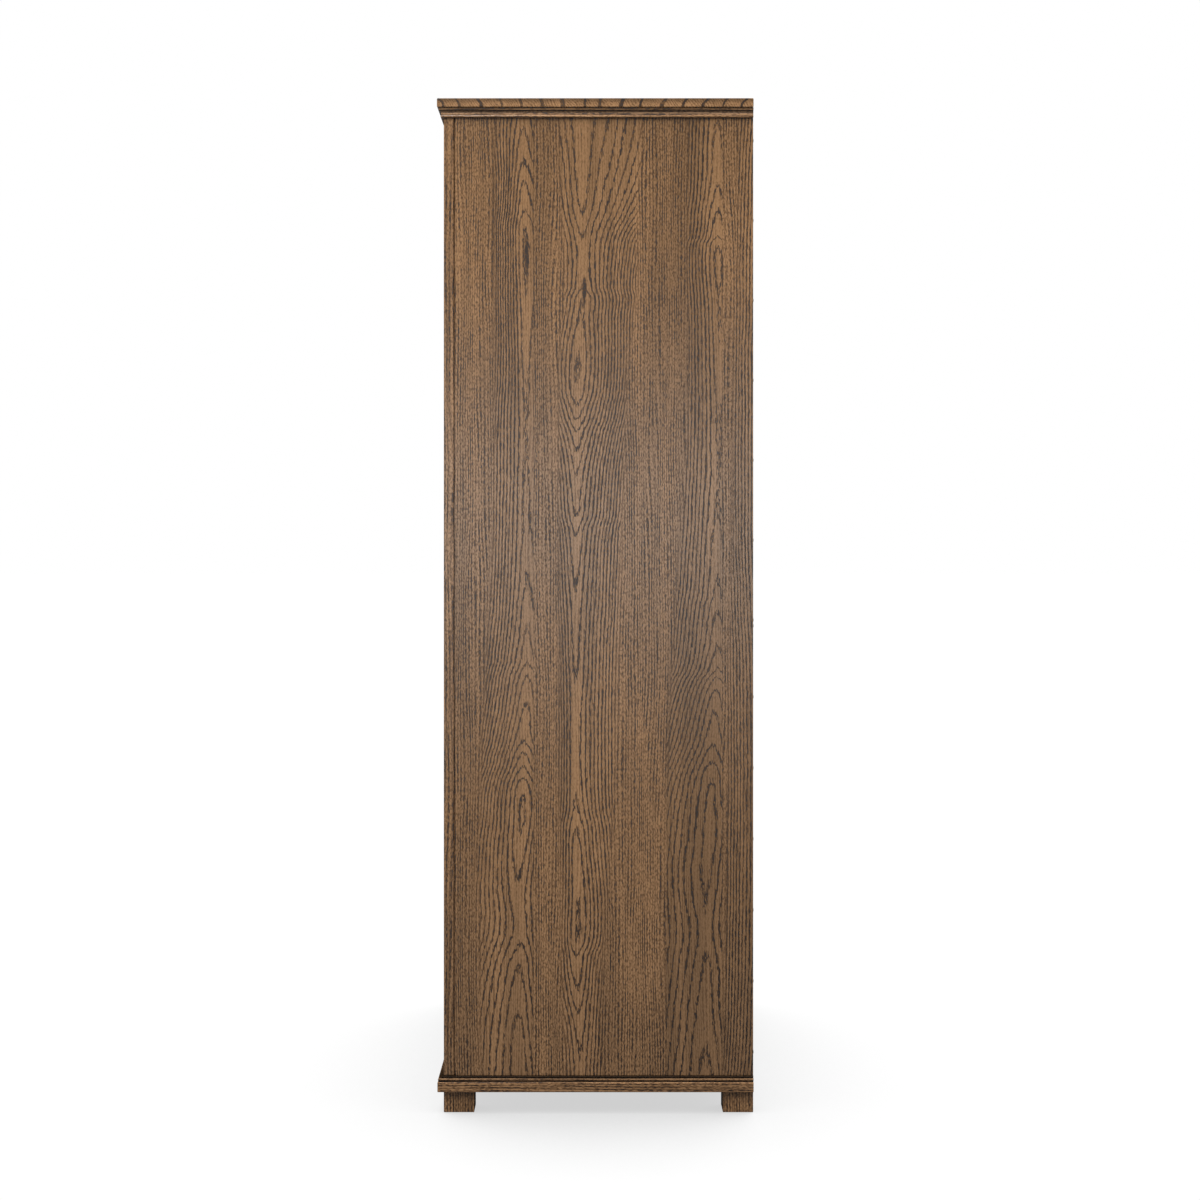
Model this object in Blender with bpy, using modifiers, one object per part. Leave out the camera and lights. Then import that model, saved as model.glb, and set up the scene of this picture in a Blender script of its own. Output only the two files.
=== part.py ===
"""Tall cabinet in smoked oak: a panelled carcass on a moulded base with four square feet, a face
frame with two tall inset doors on butt hinges, and a slab top over a small cove moulding.

Metres, +Z up. The front faces -Y, and left and right are as seen by someone who stands before it,
so left is -X. The origin is on the floor, under the middle of the overall box, knobs included.
"""

import math

import bmesh
import bpy
from mathutils import Matrix, Vector

# Case
BODY_WIDTH = 1.074
BODY_DEPTH = 0.620
BODY_HEIGHT = 1.919
SIDE_THICKNESS = 0.022
PANEL_THICKNESS = 0.020
BACK_THICKNESS = 0.008
BACK_REBATE_WIDTH = 0.010
SHADOW_GROOVE_WIDTH = 0.0022
SHADOW_GROOVE_DEPTH = 0.005

# Feet and base
FOOT_WIDTH = 0.061
FOOT_HEIGHT = 0.043
BASE_HEIGHT = 0.031
BASE_OVERHANG = 0.012
BASE_FASCIA_HEIGHT = 0.0196
BASE_BEAD_RADIUS = 0.0025
BASE_QUIRK_DEPTH = 0.004
BASE_QUIRK_HEIGHT = 0.0026
BASE_FILLET_PROJECTION = 0.0055
BASE_FILLET_HEIGHT = 0.002
BASE_UPPER_QUIRK_DEPTH = 0.003

# Slab top and the cove moulding under it
SLAB_THICKNESS = 0.018
SLAB_OVERHANG = 0.013
CORNICE_HEIGHT = 0.019
CORNICE_PROJECTION = 0.010
CORNICE_FILLET_HEIGHT = 0.0045
CORNICE_FILLET_STEP = 0.001
CORNICE_BEAD_RADIUS = 0.0023
CORNICE_BEAD_PROJECTION = 0.0065
CORNICE_COVE_START = 0.005

# Face frame and doors
FRONT_THICKNESS = 0.020
FRAME_STILE_WIDTH = 0.055
FRAME_TOP_RAIL_HEIGHT = 0.045
FRAME_BOTTOM_RAIL_HEIGHT = 0.045
DOOR_GAP = 0.0025
MEETING_GAP = 0.003
DOOR_STILE_WIDTH = 0.072
DOOR_TOP_RAIL_HEIGHT = 0.072
DOOR_MIDDLE_RAIL_HEIGHT = 0.090
DOOR_BOTTOM_RAIL_HEIGHT = 0.110
PANEL_GROOVE_WIDTH = 0.006
PANEL_GROOVE_DEPTH = 0.009
FIELD_BEVEL_WIDTH = 0.032
FIELD_RAISE = 0.0035

# Inside
STOP_LIP = 0.008
FIXED_SHELF_TOP = 0.990
SHELF_THICKNESS = 0.020
SHELF_SETBACK = 0.025
SHELF_END_CLEARANCE = 0.0008
HOUSING_DEPTH = 0.008
CLEAT_WIDTH = 0.018
CLEAT_HEIGHT = 0.022
CLEAT_END_INSET = 0.020

# Hinges
HINGES_PER_DOOR = 3
HINGE_END_DISTANCE = 0.180
LEAF_HEIGHT = 0.075
LEAF_WIDTH = 0.018
LEAF_THICKNESS = 0.0016
LEAF_LET_IN = 0.0008
BARREL_RADIUS = 0.0035
BARREL_RELIEF = 0.0005
KNUCKLES = 5
PIN_RADIUS = 0.0014
PIN_CLEARANCE = 0.0004
TIP_HEIGHT = 0.004
TIP_RADIUS = 0.0018
STRIP_STEP = 0.0001

# Knobs and catches
KNOB_PROJECTION = 0.030
KNOB_RADIUS = 0.0165
KNOB_HEAD_THICKNESS = 0.013
KNOB_CROWN_HEIGHT = 0.0078
KNOB_UNDERSIDE_TURN = -60
KNOB_NECK_RADIUS = 0.0055
KNOB_ROSE_RADIUS = 0.0115
KNOB_ROSE_THICKNESS = 0.003
KNOB_HEIGHT = 1.045
CATCH_LENGTH = 0.046
CATCH_DEPTH = 0.016
CATCH_HEIGHT = 0.014
CATCH_INSET = 0.020

# Clearances, welds and eased edges
JOINT_GAP = 0.0003
WELD_DISTANCE = 0.00001
ARRIS = 0.001
SLAB_ARRIS = 0.0018
SIDE_ARRIS = 0.0006

# Faceting of round shapes
ARC_STEPS = 6
BARREL_SIDES = 12
PIN_SIDES = 8
KNOB_SIDES = 24

# Levels, from the floor up
BODY_BOTTOM = FOOT_HEIGHT + BASE_HEIGHT
CORNICE_BOTTOM = BODY_BOTTOM + BODY_HEIGHT
SLAB_BOTTOM = CORNICE_BOTTOM + CORNICE_HEIGHT
SLAB_TOP = SLAB_BOTTOM + SLAB_THICKNESS
CASE_LOW = BODY_BOTTOM + JOINT_GAP
CASE_HIGH = SLAB_BOTTOM - JOINT_GAP
OPENING_BOTTOM = BODY_BOTTOM + FRAME_BOTTOM_RAIL_HEIGHT
OPENING_TOP = CORNICE_BOTTOM - FRAME_TOP_RAIL_HEIGHT
DOOR_BOTTOM = OPENING_BOTTOM + DOOR_GAP
DOOR_TOP = OPENING_TOP - DOOR_GAP
DECK_TOP = OPENING_BOTTOM + STOP_LIP
CEILING = OPENING_TOP - STOP_LIP
FIXED_SHELF_MIDDLE = FIXED_SHELF_TOP - SHELF_THICKNESS / 2

# Places across the width and the depth
HALF_WIDTH = BODY_WIDTH / 2
INNER_HALF = HALF_WIDTH - SIDE_THICKNESS
OPENING_HALF = HALF_WIDTH - FRAME_STILE_WIDTH
HINGE_X = OPENING_HALF - DOOR_GAP / 2
FRONT_PROJECTION = max(KNOB_PROJECTION, SLAB_OVERHANG)
BACK = (BODY_DEPTH + FRONT_PROJECTION) / 2
FRONT = BACK - BODY_DEPTH
DOOR_BACK = FRONT + FRONT_THICKNESS
CASE_FRONT = DOOR_BACK + JOINT_GAP
CASE_BACK = BACK - BACK_THICKNESS - JOINT_GAP
SHELF_FRONT = CASE_FRONT + SHELF_SETBACK

# The way each side faces, and how far its face is from the middle
FRONT_SIDE = (-math.pi / 2, -FRONT)
LEFT_SIDE = (math.pi, HALF_WIDTH)
RIGHT_SIDE = (0.0, HALF_WIDTH)


def new_collection(name):
    group = bpy.data.collections.new(name)
    bpy.context.scene.collection.children.link(group)
    return group


def finish(name, colour, roughness, metallic=0.0):
    """A plain surface: its colour is linear red, green and blue."""
    material = bpy.data.materials.new(name)
    material.use_nodes = True
    shader = material.node_tree.nodes["Principled BSDF"]
    shader.inputs["Base Color"].default_value = (*colour, 1.0)
    shader.inputs["Roughness"].default_value = roughness
    shader.inputs["Metallic"].default_value = metallic
    return material


def place(item, material, pivot=None):
    """Puts a piece in the cabinet, carried by its door's pivot where it has one."""
    cabinet.objects.link(item)
    item.data.materials.clear()
    item.data.materials.append(material)
    if pivot:
        item.parent = pivot
        item.location -= pivot.location
    return item


def ease(item, width=ARRIS):
    """Rounds the sharp edges as sandpaper does."""
    bevel = item.modifiers.new("eased edges", "BEVEL")
    bevel.width = width
    bevel.segments = 2
    bevel.limit_method = "ANGLE"
    return item


def box(name, corner, opposite):
    """A box between two opposite corners, with its origin in its middle."""
    size = [abs(first - second) for first, second in zip(corner, opposite)]
    shape = bmesh.new()
    bmesh.ops.create_cube(shape, size=1.0)
    bmesh.ops.scale(shape, vec=size, verts=shape.verts)
    mesh = bpy.data.meshes.new(name)
    shape.to_mesh(mesh)
    shape.free()
    item = bpy.data.objects.new(name, mesh)
    item.location = (Vector(corner) + Vector(opposite)) / 2
    return item


def rod(name, radius, low, high, sides, end_radius=None):
    """An upright round bar, or a tapered one, around the local Z axis."""
    shape = bmesh.new()
    bmesh.ops.create_cone(
        shape,
        cap_ends=True,
        segments=sides,
        radius1=radius,
        radius2=radius if end_radius is None else end_radius,
        depth=abs(high - low),
        matrix=Matrix.Rotation(math.pi if high < low else 0.0, 4, "X"),
    )
    bmesh.ops.translate(shape, vec=(0.0, 0.0, (low + high) / 2), verts=shape.verts)
    mesh = bpy.data.meshes.new(name)
    shape.to_mesh(mesh)
    shape.free()
    return bpy.data.objects.new(name, mesh)


def face_outwards(shape):
    bmesh.ops.recalc_face_normals(shape, faces=shape.faces)
    if shape.calc_volume(signed=True) < 0:
        bmesh.ops.reverse_faces(shape, faces=shape.faces)


def extrusion(name, outline, length):
    """A bar of one section: the outline in local X and Y, extruded both ways along local Z."""
    curve = bpy.data.curves.new(name, "CURVE")
    curve.dimensions = "2D"
    curve.fill_mode = "BOTH"
    curve.extrude = length / 2
    spline = curve.splines.new("POLY")
    spline.points.add(len(outline) - 1)
    for point, (x, y) in zip(spline.points, outline):
        point.co = (x, y, 0.0, 1.0)
    spline.use_cyclic_u = True
    guide = bpy.data.objects.new(name, curve)
    tools.objects.link(guide)
    mesh = evaluated_mesh(guide)
    bpy.data.objects.remove(guide)
    shape = bmesh.new()
    shape.from_mesh(mesh)
    bmesh.ops.remove_doubles(shape, verts=shape.verts, dist=WELD_DISTANCE)
    face_outwards(shape)
    shape.to_mesh(mesh)
    shape.free()
    mesh.name = name
    return bpy.data.objects.new(name, mesh)


def evaluated_mesh(item):
    """A new mesh of the item as its modifiers leave it, in world space."""
    bpy.context.view_layer.update()
    graph = bpy.context.evaluated_depsgraph_get()
    mesh = bpy.data.meshes.new_from_object(item.evaluated_get(graph))
    mesh.transform(item.matrix_world)
    return mesh


def as_tool(item, pivot=None):
    """Hides a shape that only cuts or joins another."""
    tools.objects.link(item)
    item.display_type = "WIRE"
    item.hide_render = True
    if pivot:
        item.parent = pivot
        item.location -= pivot.location
    return item


def combine(item, tool, operation="DIFFERENCE"):
    modifier = item.modifiers.new(operation.lower() + " " + tool.name, "BOOLEAN")
    modifier.operation = operation
    modifier.object = tool
    return item


def arc(centre_x, centre_y, radius_x, radius_y, start, end):
    """Points on an ellipse's arc, with both angles in degrees."""
    points = []
    for step in range(ARC_STEPS + 1):
        angle = math.radians(start + (end - start) * step / ARC_STEPS)
        points.append((centre_x + radius_x * math.cos(angle), centre_y + radius_y * math.sin(angle)))
    return points


def eased_corners(outline, size=ARRIS):
    """The outline with its outward corners cut back, for eased long edges."""
    points = []
    for index, corner in enumerate(outline):
        before = Vector(outline[index - 1]) - Vector(corner)
        after = Vector(outline[(index + 1) % len(outline)]) - Vector(corner)
        outward = before.cross(after) < 0
        if outward:
            points.append(tuple(Vector(corner) + before.normalized() * size))
            points.append(tuple(Vector(corner) + after.normalized() * size))
        else:
            points.append(corner)
    return points


def moulding(name, outline, side, level, material, start_mitre, end_mitre, start, end):
    """A moulding along one side of the case.

    The outline's x is the distance out from the case's face and its y the height over level. The bar
    runs from start to end along local Z, measured on the case's face. A mitred end is cut at 45
    degrees through that point.
    """
    reach = 2 * max(abs(x) for x, _ in outline)
    item = extrusion(name, outline, end - start + 2 * reach)
    shape = bmesh.new()
    shape.from_mesh(item.data)
    middle = (start + end) / 2
    for limit, sign, mitred in ((start, -1, start_mitre), (end, 1, end_mitre)):
        direction = Vector((-1.0 if mitred else 0.0, 0.0, sign)).normalized()
        point = Vector((0.0, 0.0, limit - middle - sign * (JOINT_GAP if mitred else 0.0)))
        cut = bmesh.ops.bisect_plane(
            shape,
            geom=shape.verts[:] + shape.edges[:] + shape.faces[:],
            plane_co=point,
            plane_no=direction,
            clear_outer=True,
        )
        rim = [part for part in cut["geom_cut"] if isinstance(part, bmesh.types.BMEdge)]
        bmesh.ops.triangle_fill(shape, edges=rim, use_beauty=True, normal=direction)
    face_outwards(shape)
    shape.to_mesh(item.data)
    shape.free()
    angle, face = side
    item.rotation_euler = (math.pi / 2, 0.0, angle)
    out = Vector((math.cos(angle), math.sin(angle), 0.0))
    along = Vector((math.sin(angle), -math.cos(angle), 0.0))
    item.location = out * face + along * middle + Vector((0.0, 0.0, level))
    return place(item, material)


def make_feet():
    for side, sign in (("left", -1), ("right", 1)):
        outer = sign * HALF_WIDTH
        inner = sign * (HALF_WIDTH - FOOT_WIDTH)
        for end, near, far in (("front", FRONT, FRONT + FOOT_WIDTH), ("rear", BACK - FOOT_WIDTH, BACK)):
            foot = box(f"foot_{end}_{side}", (outer, near, 0.0), (inner, far, FOOT_HEIGHT - JOINT_GAP))
            place(ease(foot), oak_dark)


def base_outline():
    """Fascia, quirk, bead, upper quirk and fillet, from the inner edge out and up."""
    bead_low = BASE_FASCIA_HEIGHT + BASE_QUIRK_HEIGHT
    bead_middle = bead_low + BASE_BEAD_RADIUS
    bead_x = BASE_OVERHANG - BASE_BEAD_RADIUS - ARRIS
    quirk_x = BASE_OVERHANG - BASE_QUIRK_DEPTH
    upper_quirk_x = BASE_FILLET_PROJECTION - BASE_UPPER_QUIRK_DEPTH
    fillet_low = BASE_HEIGHT - BASE_FILLET_HEIGHT
    outline = [(-FOOT_WIDTH, 0.0), (BASE_OVERHANG - ARRIS, 0.0), (BASE_OVERHANG, ARRIS)]
    outline.append((BASE_OVERHANG, BASE_FASCIA_HEIGHT - ARRIS))
    outline.append((BASE_OVERHANG - ARRIS, BASE_FASCIA_HEIGHT))
    outline.append((quirk_x, BASE_FASCIA_HEIGHT))
    outline.append((quirk_x, bead_low))
    outline += arc(bead_x, bead_middle, BASE_BEAD_RADIUS, BASE_BEAD_RADIUS, -90, 90)
    outline.append((upper_quirk_x, bead_low + 2 * BASE_BEAD_RADIUS))
    outline.append((upper_quirk_x, fillet_low))
    outline.append((BASE_FILLET_PROJECTION, fillet_low))
    outline.append((BASE_FILLET_PROJECTION, BASE_HEIGHT))
    outline.append((-FOOT_WIDTH, BASE_HEIGHT))
    return outline


def make_base():
    outline = base_outline()
    moulding("base_front", outline, FRONT_SIDE, FOOT_HEIGHT, oak, True, True, -HALF_WIDTH, HALF_WIDTH)
    moulding("base_right", outline, RIGHT_SIDE, FOOT_HEIGHT, oak, False, True, -BACK, -FRONT)
    moulding("base_left", outline, LEFT_SIDE, FOOT_HEIGHT, oak, True, False, FRONT, BACK)
    rear_half = HALF_WIDTH - FOOT_WIDTH - JOINT_GAP
    rear = box("base_rear", (-rear_half, BACK - FOOT_WIDTH, FOOT_HEIGHT), (rear_half, BACK, BODY_BOTTOM))
    place(ease(rear), oak_dark)


def cornice_outline():
    """A bead, a cove that opens upwards and a fillet under the slab."""
    top = CORNICE_HEIGHT - JOINT_GAP
    radius = CORNICE_BEAD_RADIUS
    bead_x = CORNICE_BEAD_PROJECTION - radius
    fillet_low = CORNICE_HEIGHT - CORNICE_FILLET_HEIGHT
    cove_low = 2 * radius + JOINT_GAP
    cove_x = CORNICE_PROJECTION - CORNICE_FILLET_STEP
    outline = [(JOINT_GAP, 0.0)]
    outline += arc(bead_x, radius, radius, radius, -90, 90)
    outline += arc(
        cove_x, cove_low, cove_x - CORNICE_COVE_START, fillet_low - cove_low, 180, 90
    )
    outline.append((CORNICE_PROJECTION, fillet_low))
    outline.append((CORNICE_PROJECTION, top))
    outline.append((JOINT_GAP, top))
    return outline


def make_cornice():
    outline = cornice_outline()
    level = CORNICE_BOTTOM
    moulding("cornice_front", outline, FRONT_SIDE, level, oak, True, True, -HALF_WIDTH, HALF_WIDTH)
    moulding("cornice_right", outline, RIGHT_SIDE, level, oak, False, True, -BACK, -FRONT)
    moulding("cornice_left", outline, LEFT_SIDE, level, oak, True, False, FRONT, BACK)
    edge = HALF_WIDTH + SLAB_OVERHANG
    slab = box("top_slab", (-edge, FRONT - SLAB_OVERHANG, SLAB_BOTTOM), (edge, BACK, SLAB_TOP))
    place(ease(slab, SLAB_ARRIS), oak)


def side_outline():
    """The right side's section: a shadow groove behind the face frame, a rebate for the back."""
    groove_x = HALF_WIDTH - SHADOW_GROOVE_DEPTH
    groove_y = CASE_FRONT + SHADOW_GROOVE_WIDTH
    rebate_x = INNER_HALF + BACK_REBATE_WIDTH
    outline = [
        (INNER_HALF, CASE_FRONT),
        (groove_x, CASE_FRONT),
        (groove_x, groove_y),
        (HALF_WIDTH, groove_y),
        (HALF_WIDTH, BACK),
        (rebate_x, BACK),
        (rebate_x, CASE_BACK),
        (INNER_HALF, CASE_BACK),
    ]
    return eased_corners(outline, SIDE_ARRIS)


def make_sides():
    """The sides, each with a housing across it for the fixed shelf."""
    right = side_outline()
    left = [(-x, y) for x, y in reversed(right)]
    for name, outline, sign in (("right", right, 1), ("left", left, -1)):
        panel = extrusion("side_" + name, outline, CASE_HIGH - CASE_LOW)
        panel.location.z = (CASE_LOW + CASE_HIGH) / 2
        mouth = sign * (INNER_HALF - HOUSING_DEPTH)
        bottom = sign * (INNER_HALF + HOUSING_DEPTH)
        housing = box(
            "housing_" + name,
            (mouth, SHELF_FRONT - JOINT_GAP, FIXED_SHELF_TOP - SHELF_THICKNESS - JOINT_GAP),
            (bottom, BACK + HOUSING_DEPTH, FIXED_SHELF_TOP + JOINT_GAP),
        )
        place(combine(panel, as_tool(housing)), oak)


def make_case_panels():
    half = INNER_HALF - JOINT_GAP
    deck = box(
        "bottom_panel",
        (-half, CASE_FRONT, DECK_TOP - PANEL_THICKNESS),
        (half, CASE_BACK, DECK_TOP),
    )
    place(ease(deck), oak_inside)
    ceiling = box(
        "top_panel", (-half, CASE_FRONT, CEILING), (half, CASE_BACK, CEILING + PANEL_THICKNESS)
    )
    place(ease(ceiling), oak_inside)
    back_half = INNER_HALF + BACK_REBATE_WIDTH - JOINT_GAP
    for name, low, high in (
        ("lower", CASE_LOW, FIXED_SHELF_MIDDLE - JOINT_GAP),
        ("upper", FIXED_SHELF_MIDDLE + JOINT_GAP, CASE_HIGH),
    ):
        back = box("back_" + name, (-back_half, BACK - BACK_THICKNESS, low), (back_half, BACK, high))
        place(ease(back), oak_inside)


def make_shelves():
    fixed_half = INNER_HALF + HOUSING_DEPTH - JOINT_GAP
    fixed = box(
        "shelf_fixed",
        (-fixed_half, SHELF_FRONT, FIXED_SHELF_TOP - SHELF_THICKNESS),
        (fixed_half, CASE_BACK, FIXED_SHELF_TOP),
    )
    place(ease(fixed), oak_inside)
    loose_half = INNER_HALF - SHELF_END_CLEARANCE
    for name, floor, roof in (
        ("lower", DECK_TOP, FIXED_SHELF_TOP - SHELF_THICKNESS),
        ("upper", FIXED_SHELF_TOP, CEILING),
    ):
        low = (floor + roof - SHELF_THICKNESS) / 2
        shelf = box(
            "shelf_" + name,
            (-loose_half, SHELF_FRONT, low),
            (loose_half, CASE_BACK, low + SHELF_THICKNESS),
        )
        place(ease(shelf), oak_inside)
        for side, sign in (("left", -1), ("right", 1)):
            wall = sign * (INNER_HALF - JOINT_GAP)
            free = sign * (INNER_HALF - JOINT_GAP - CLEAT_WIDTH)
            cleat = box(
                f"cleat_{name}_{side}",
                (wall, SHELF_FRONT + CLEAT_END_INSET, low - JOINT_GAP - CLEAT_HEIGHT),
                (free, CASE_BACK - CLEAT_END_INSET, low - JOINT_GAP),
            )
            place(ease(cleat), oak_inside)


def hinge_levels():
    first = DOOR_BOTTOM + HINGE_END_DISTANCE
    last = DOOR_TOP - HINGE_END_DISTANCE
    return [first + (last - first) * index / (HINGES_PER_DOOR - 1) for index in range(HINGES_PER_DOOR)]


def let_in_hinges(item, name, sign, outward, pivot=None):
    """Cuts the leaf recesses and the room for the barrels out of a stile beside the hinge axis.

    The sign is the door's side, and outward is 1 for the frame's stile and -1 for the door's.
    """
    axis_x = sign * HINGE_X
    depth = DOOR_GAP / 2 + LEAF_LET_IN + JOINT_GAP
    seat = axis_x + sign * outward * depth
    for index, level in enumerate(hinge_levels()):
        half = LEAF_HEIGHT / 2 + JOINT_GAP
        recess = box(
            f"recess_{name}_{index}",
            (axis_x, FRONT - BARREL_RADIUS, level - half),
            (seat, FRONT + LEAF_WIDTH + JOINT_GAP, level + half),
        )
        combine(item, as_tool(recess, pivot))
        reach = LEAF_HEIGHT / 2 + TIP_HEIGHT + BARREL_RELIEF
        relief = rod(f"relief_{name}_{index}", BARREL_RADIUS + BARREL_RELIEF, -reach, reach, BARREL_SIDES)
        relief.location = (axis_x, FRONT, level)
        combine(item, as_tool(relief, pivot))


def make_face_frame():
    for side, sign in (("left", -1), ("right", 1)):
        stile = box(
            "frame_stile_" + side,
            (sign * HALF_WIDTH, FRONT, CASE_LOW),
            (sign * OPENING_HALF, DOOR_BACK, CASE_HIGH),
        )
        let_in_hinges(ease(stile), "frame_" + side, sign, 1)
        place(stile, oak)
    half = OPENING_HALF - JOINT_GAP
    for name, low, high in (
        ("bottom", CASE_LOW, OPENING_BOTTOM),
        ("top", OPENING_TOP, CASE_HIGH),
    ):
        rail = box("frame_rail_" + name, (-half, FRONT, low), (half, DOOR_BACK, high))
        place(ease(rail), oak)


def groove_tool(name, x, z, pivot):
    """The slot for the panels' edges, in the middle of the door's thickness."""
    middle = FRONT + FRONT_THICKNESS / 2
    half = PANEL_GROOVE_WIDTH / 2
    return as_tool(box(name, (x[0], middle - half, z[0]), (x[1], middle + half, z[1])), pivot)


def door_spans():
    """The door's rails from the floor up: name, low edge and high edge."""
    middle_low = FIXED_SHELF_MIDDLE - DOOR_MIDDLE_RAIL_HEIGHT / 2
    return (
        ("bottom", DOOR_BOTTOM, DOOR_BOTTOM + DOOR_BOTTOM_RAIL_HEIGHT),
        ("middle", middle_low, middle_low + DOOR_MIDDLE_RAIL_HEIGHT),
        ("top", DOOR_TOP - DOOR_TOP_RAIL_HEIGHT, DOOR_TOP),
    )


def make_door_stiles(side, sign, pivot):
    """The stiles, each with a groove along its inner edge for panels and tongues."""
    hinge_edge = OPENING_HALF - DOOR_GAP
    meeting_edge = MEETING_GAP / 2
    slot_z = (DOOR_BOTTOM - ARRIS, DOOR_TOP + ARRIS)
    for name, outer, inward in (("hinge", hinge_edge, -1), ("meeting", meeting_edge, 1)):
        inner = outer + inward * DOOR_STILE_WIDTH
        stile = box(
            f"door_{side}_stile_{name}",
            (sign * outer, FRONT, DOOR_BOTTOM),
            (sign * inner, DOOR_BACK, DOOR_TOP),
        )
        ease(stile)
        slot_x = (sign * (inner - inward * PANEL_GROOVE_DEPTH), sign * (inner + inward * ARRIS))
        combine(stile, groove_tool(f"slot_{side}_{name}", slot_x, slot_z, pivot))
        if name == "hinge":
            let_in_hinges(stile, "door_" + side, sign, -1, pivot)
        place(stile, oak, pivot)


def make_door_rails(side, sign, pivot):
    """The rails, with a stub tongue at each end and a groove along each inner edge."""
    near = sign * (MEETING_GAP / 2 + DOOR_STILE_WIDTH + JOINT_GAP)
    far = sign * (OPENING_HALF - DOOR_GAP - DOOR_STILE_WIDTH - JOINT_GAP)
    low_x, high_x = sorted((near, far))
    slot_x = (low_x - PANEL_GROOVE_DEPTH, high_x + PANEL_GROOVE_DEPTH)
    thickness_middle = FRONT + FRONT_THICKNESS / 2
    tongue_half = PANEL_GROOVE_WIDTH / 2 - JOINT_GAP
    tongue_reach = PANEL_GROOVE_DEPTH - 2 * JOINT_GAP
    for name, low, high in door_spans():
        rail = box(f"door_{side}_rail_{name}", (low_x, FRONT, low), (high_x, DOOR_BACK, high))
        ease(rail)
        tongue = box(
            f"tongue_{side}_{name}",
            (low_x - tongue_reach, thickness_middle - tongue_half, low + PANEL_GROOVE_DEPTH + ARRIS),
            (high_x + tongue_reach, thickness_middle + tongue_half, high - PANEL_GROOVE_DEPTH - ARRIS),
        )
        combine(rail, as_tool(tongue, pivot), "UNION")
        for edge, inward, outermost in ((low, 1, "bottom"), (high, -1, "top")):
            if name != outermost:
                slot_z = (edge - inward * ARRIS, edge + inward * PANEL_GROOVE_DEPTH)
                combine(rail, groove_tool(f"slot_{side}_{name}_{inward}", slot_x, slot_z, pivot))
        place(rail, oak, pivot)


def make_door_panels(side, sign, pivot):
    """Raised and fielded panels, loose in their grooves so that the wood can move."""
    spans = door_spans()
    reach = PANEL_GROOVE_DEPTH - 2 * JOINT_GAP
    near = sign * (MEETING_GAP / 2 + DOOR_STILE_WIDTH - reach)
    far = sign * (OPENING_HALF - DOOR_GAP - DOOR_STILE_WIDTH + reach)
    low_x, high_x = sorted((near, far))
    thickness_middle = FRONT + FRONT_THICKNESS / 2
    half = PANEL_GROOVE_WIDTH / 2 - JOINT_GAP
    for name, below, above in (("lower", spans[0], spans[1]), ("upper", spans[1], spans[2])):
        low_z = below[2] - reach
        high_z = above[1] + reach
        panel = box(
            f"door_{side}_panel_{name}",
            (low_x, thickness_middle - half, low_z),
            (high_x, thickness_middle + half, high_z),
        )
        shape = bmesh.new()
        shape.from_mesh(panel.data)
        front_face = min(shape.faces, key=lambda face: face.calc_center_median().y)
        bmesh.ops.inset_region(shape, faces=[front_face], thickness=reach + ARRIS)
        bmesh.ops.inset_region(shape, faces=[front_face], thickness=FIELD_BEVEL_WIDTH)
        bmesh.ops.translate(shape, vec=(0.0, -FIELD_RAISE, 0.0), verts=front_face.verts)
        shape.to_mesh(panel.data)
        shape.free()
        place(panel, oak, pivot)


def keyhole_outline(sign):
    """A knuckle's section: the barrel's circle and the strip that leads back into the leaf."""
    seat = DOOR_GAP / 2 + LEAF_LET_IN - STRIP_STEP
    near = seat - LEAF_THICKNESS + 2 * STRIP_STEP
    strip_end = BARREL_RADIUS + LEAF_THICKNESS
    start = math.degrees(math.acos(near / BARREL_RADIUS))
    end = math.degrees(math.acos(seat / BARREL_RADIUS)) + 360.0
    points = []
    for step in range(BARREL_SIDES + 1):
        angle = math.radians(start + (end - start) * step / BARREL_SIDES)
        points.append((-math.cos(angle) * BARREL_RADIUS, math.sin(angle) * BARREL_RADIUS))
    points.append((-seat, strip_end))
    points.append((-near, strip_end))
    return [(sign * x, y) for x, y in points]


def leaf_mesh(name, sign, own_knuckles, has_pin):
    """One leaf of a hinge around its axis: the plate lies towards +Y, on the side of the sign."""
    seat = DOOR_GAP / 2 + LEAF_LET_IN
    near = seat - LEAF_THICKNESS
    plate_front = BARREL_RADIUS + JOINT_GAP
    half = LEAF_HEIGHT / 2
    leaf = box(name, (-sign * seat, plate_front, -half), (-sign * near, LEAF_WIDTH, half))
    parts = []
    pitch = LEAF_HEIGHT / KNUCKLES
    for index in own_knuckles:
        knuckle = extrusion(f"{name}_knuckle_{index}", keyhole_outline(sign), pitch - JOINT_GAP)
        knuckle.location.z = -half + pitch * (index + 0.5)
        parts.append((knuckle, "UNION"))
    if has_pin:
        parts.append((rod(name + "_pin", PIN_RADIUS, -half, half, PIN_SIDES), "UNION"))
        for end in (-1, 1):
            root = end * (half - JOINT_GAP)
            tip = rod(
                f"{name}_tip_{end}",
                BARREL_RADIUS - STRIP_STEP,
                root,
                end * (half + TIP_HEIGHT),
                BARREL_SIDES,
                TIP_RADIUS,
            )
            parts.append((tip, "UNION"))
    else:
        bore = rod(name + "_bore", PIN_RADIUS + PIN_CLEARANCE, -LEAF_HEIGHT, LEAF_HEIGHT, PIN_SIDES)
        parts.append((bore, "DIFFERENCE"))
    tools.objects.link(leaf)
    for part, operation in parts:
        combine(leaf, as_tool(part), operation)
    mesh = evaluated_mesh(leaf)
    mesh.name = name
    for used in [leaf] + [part for part, _ in parts]:
        bpy.data.objects.remove(used)
    return mesh


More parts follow.
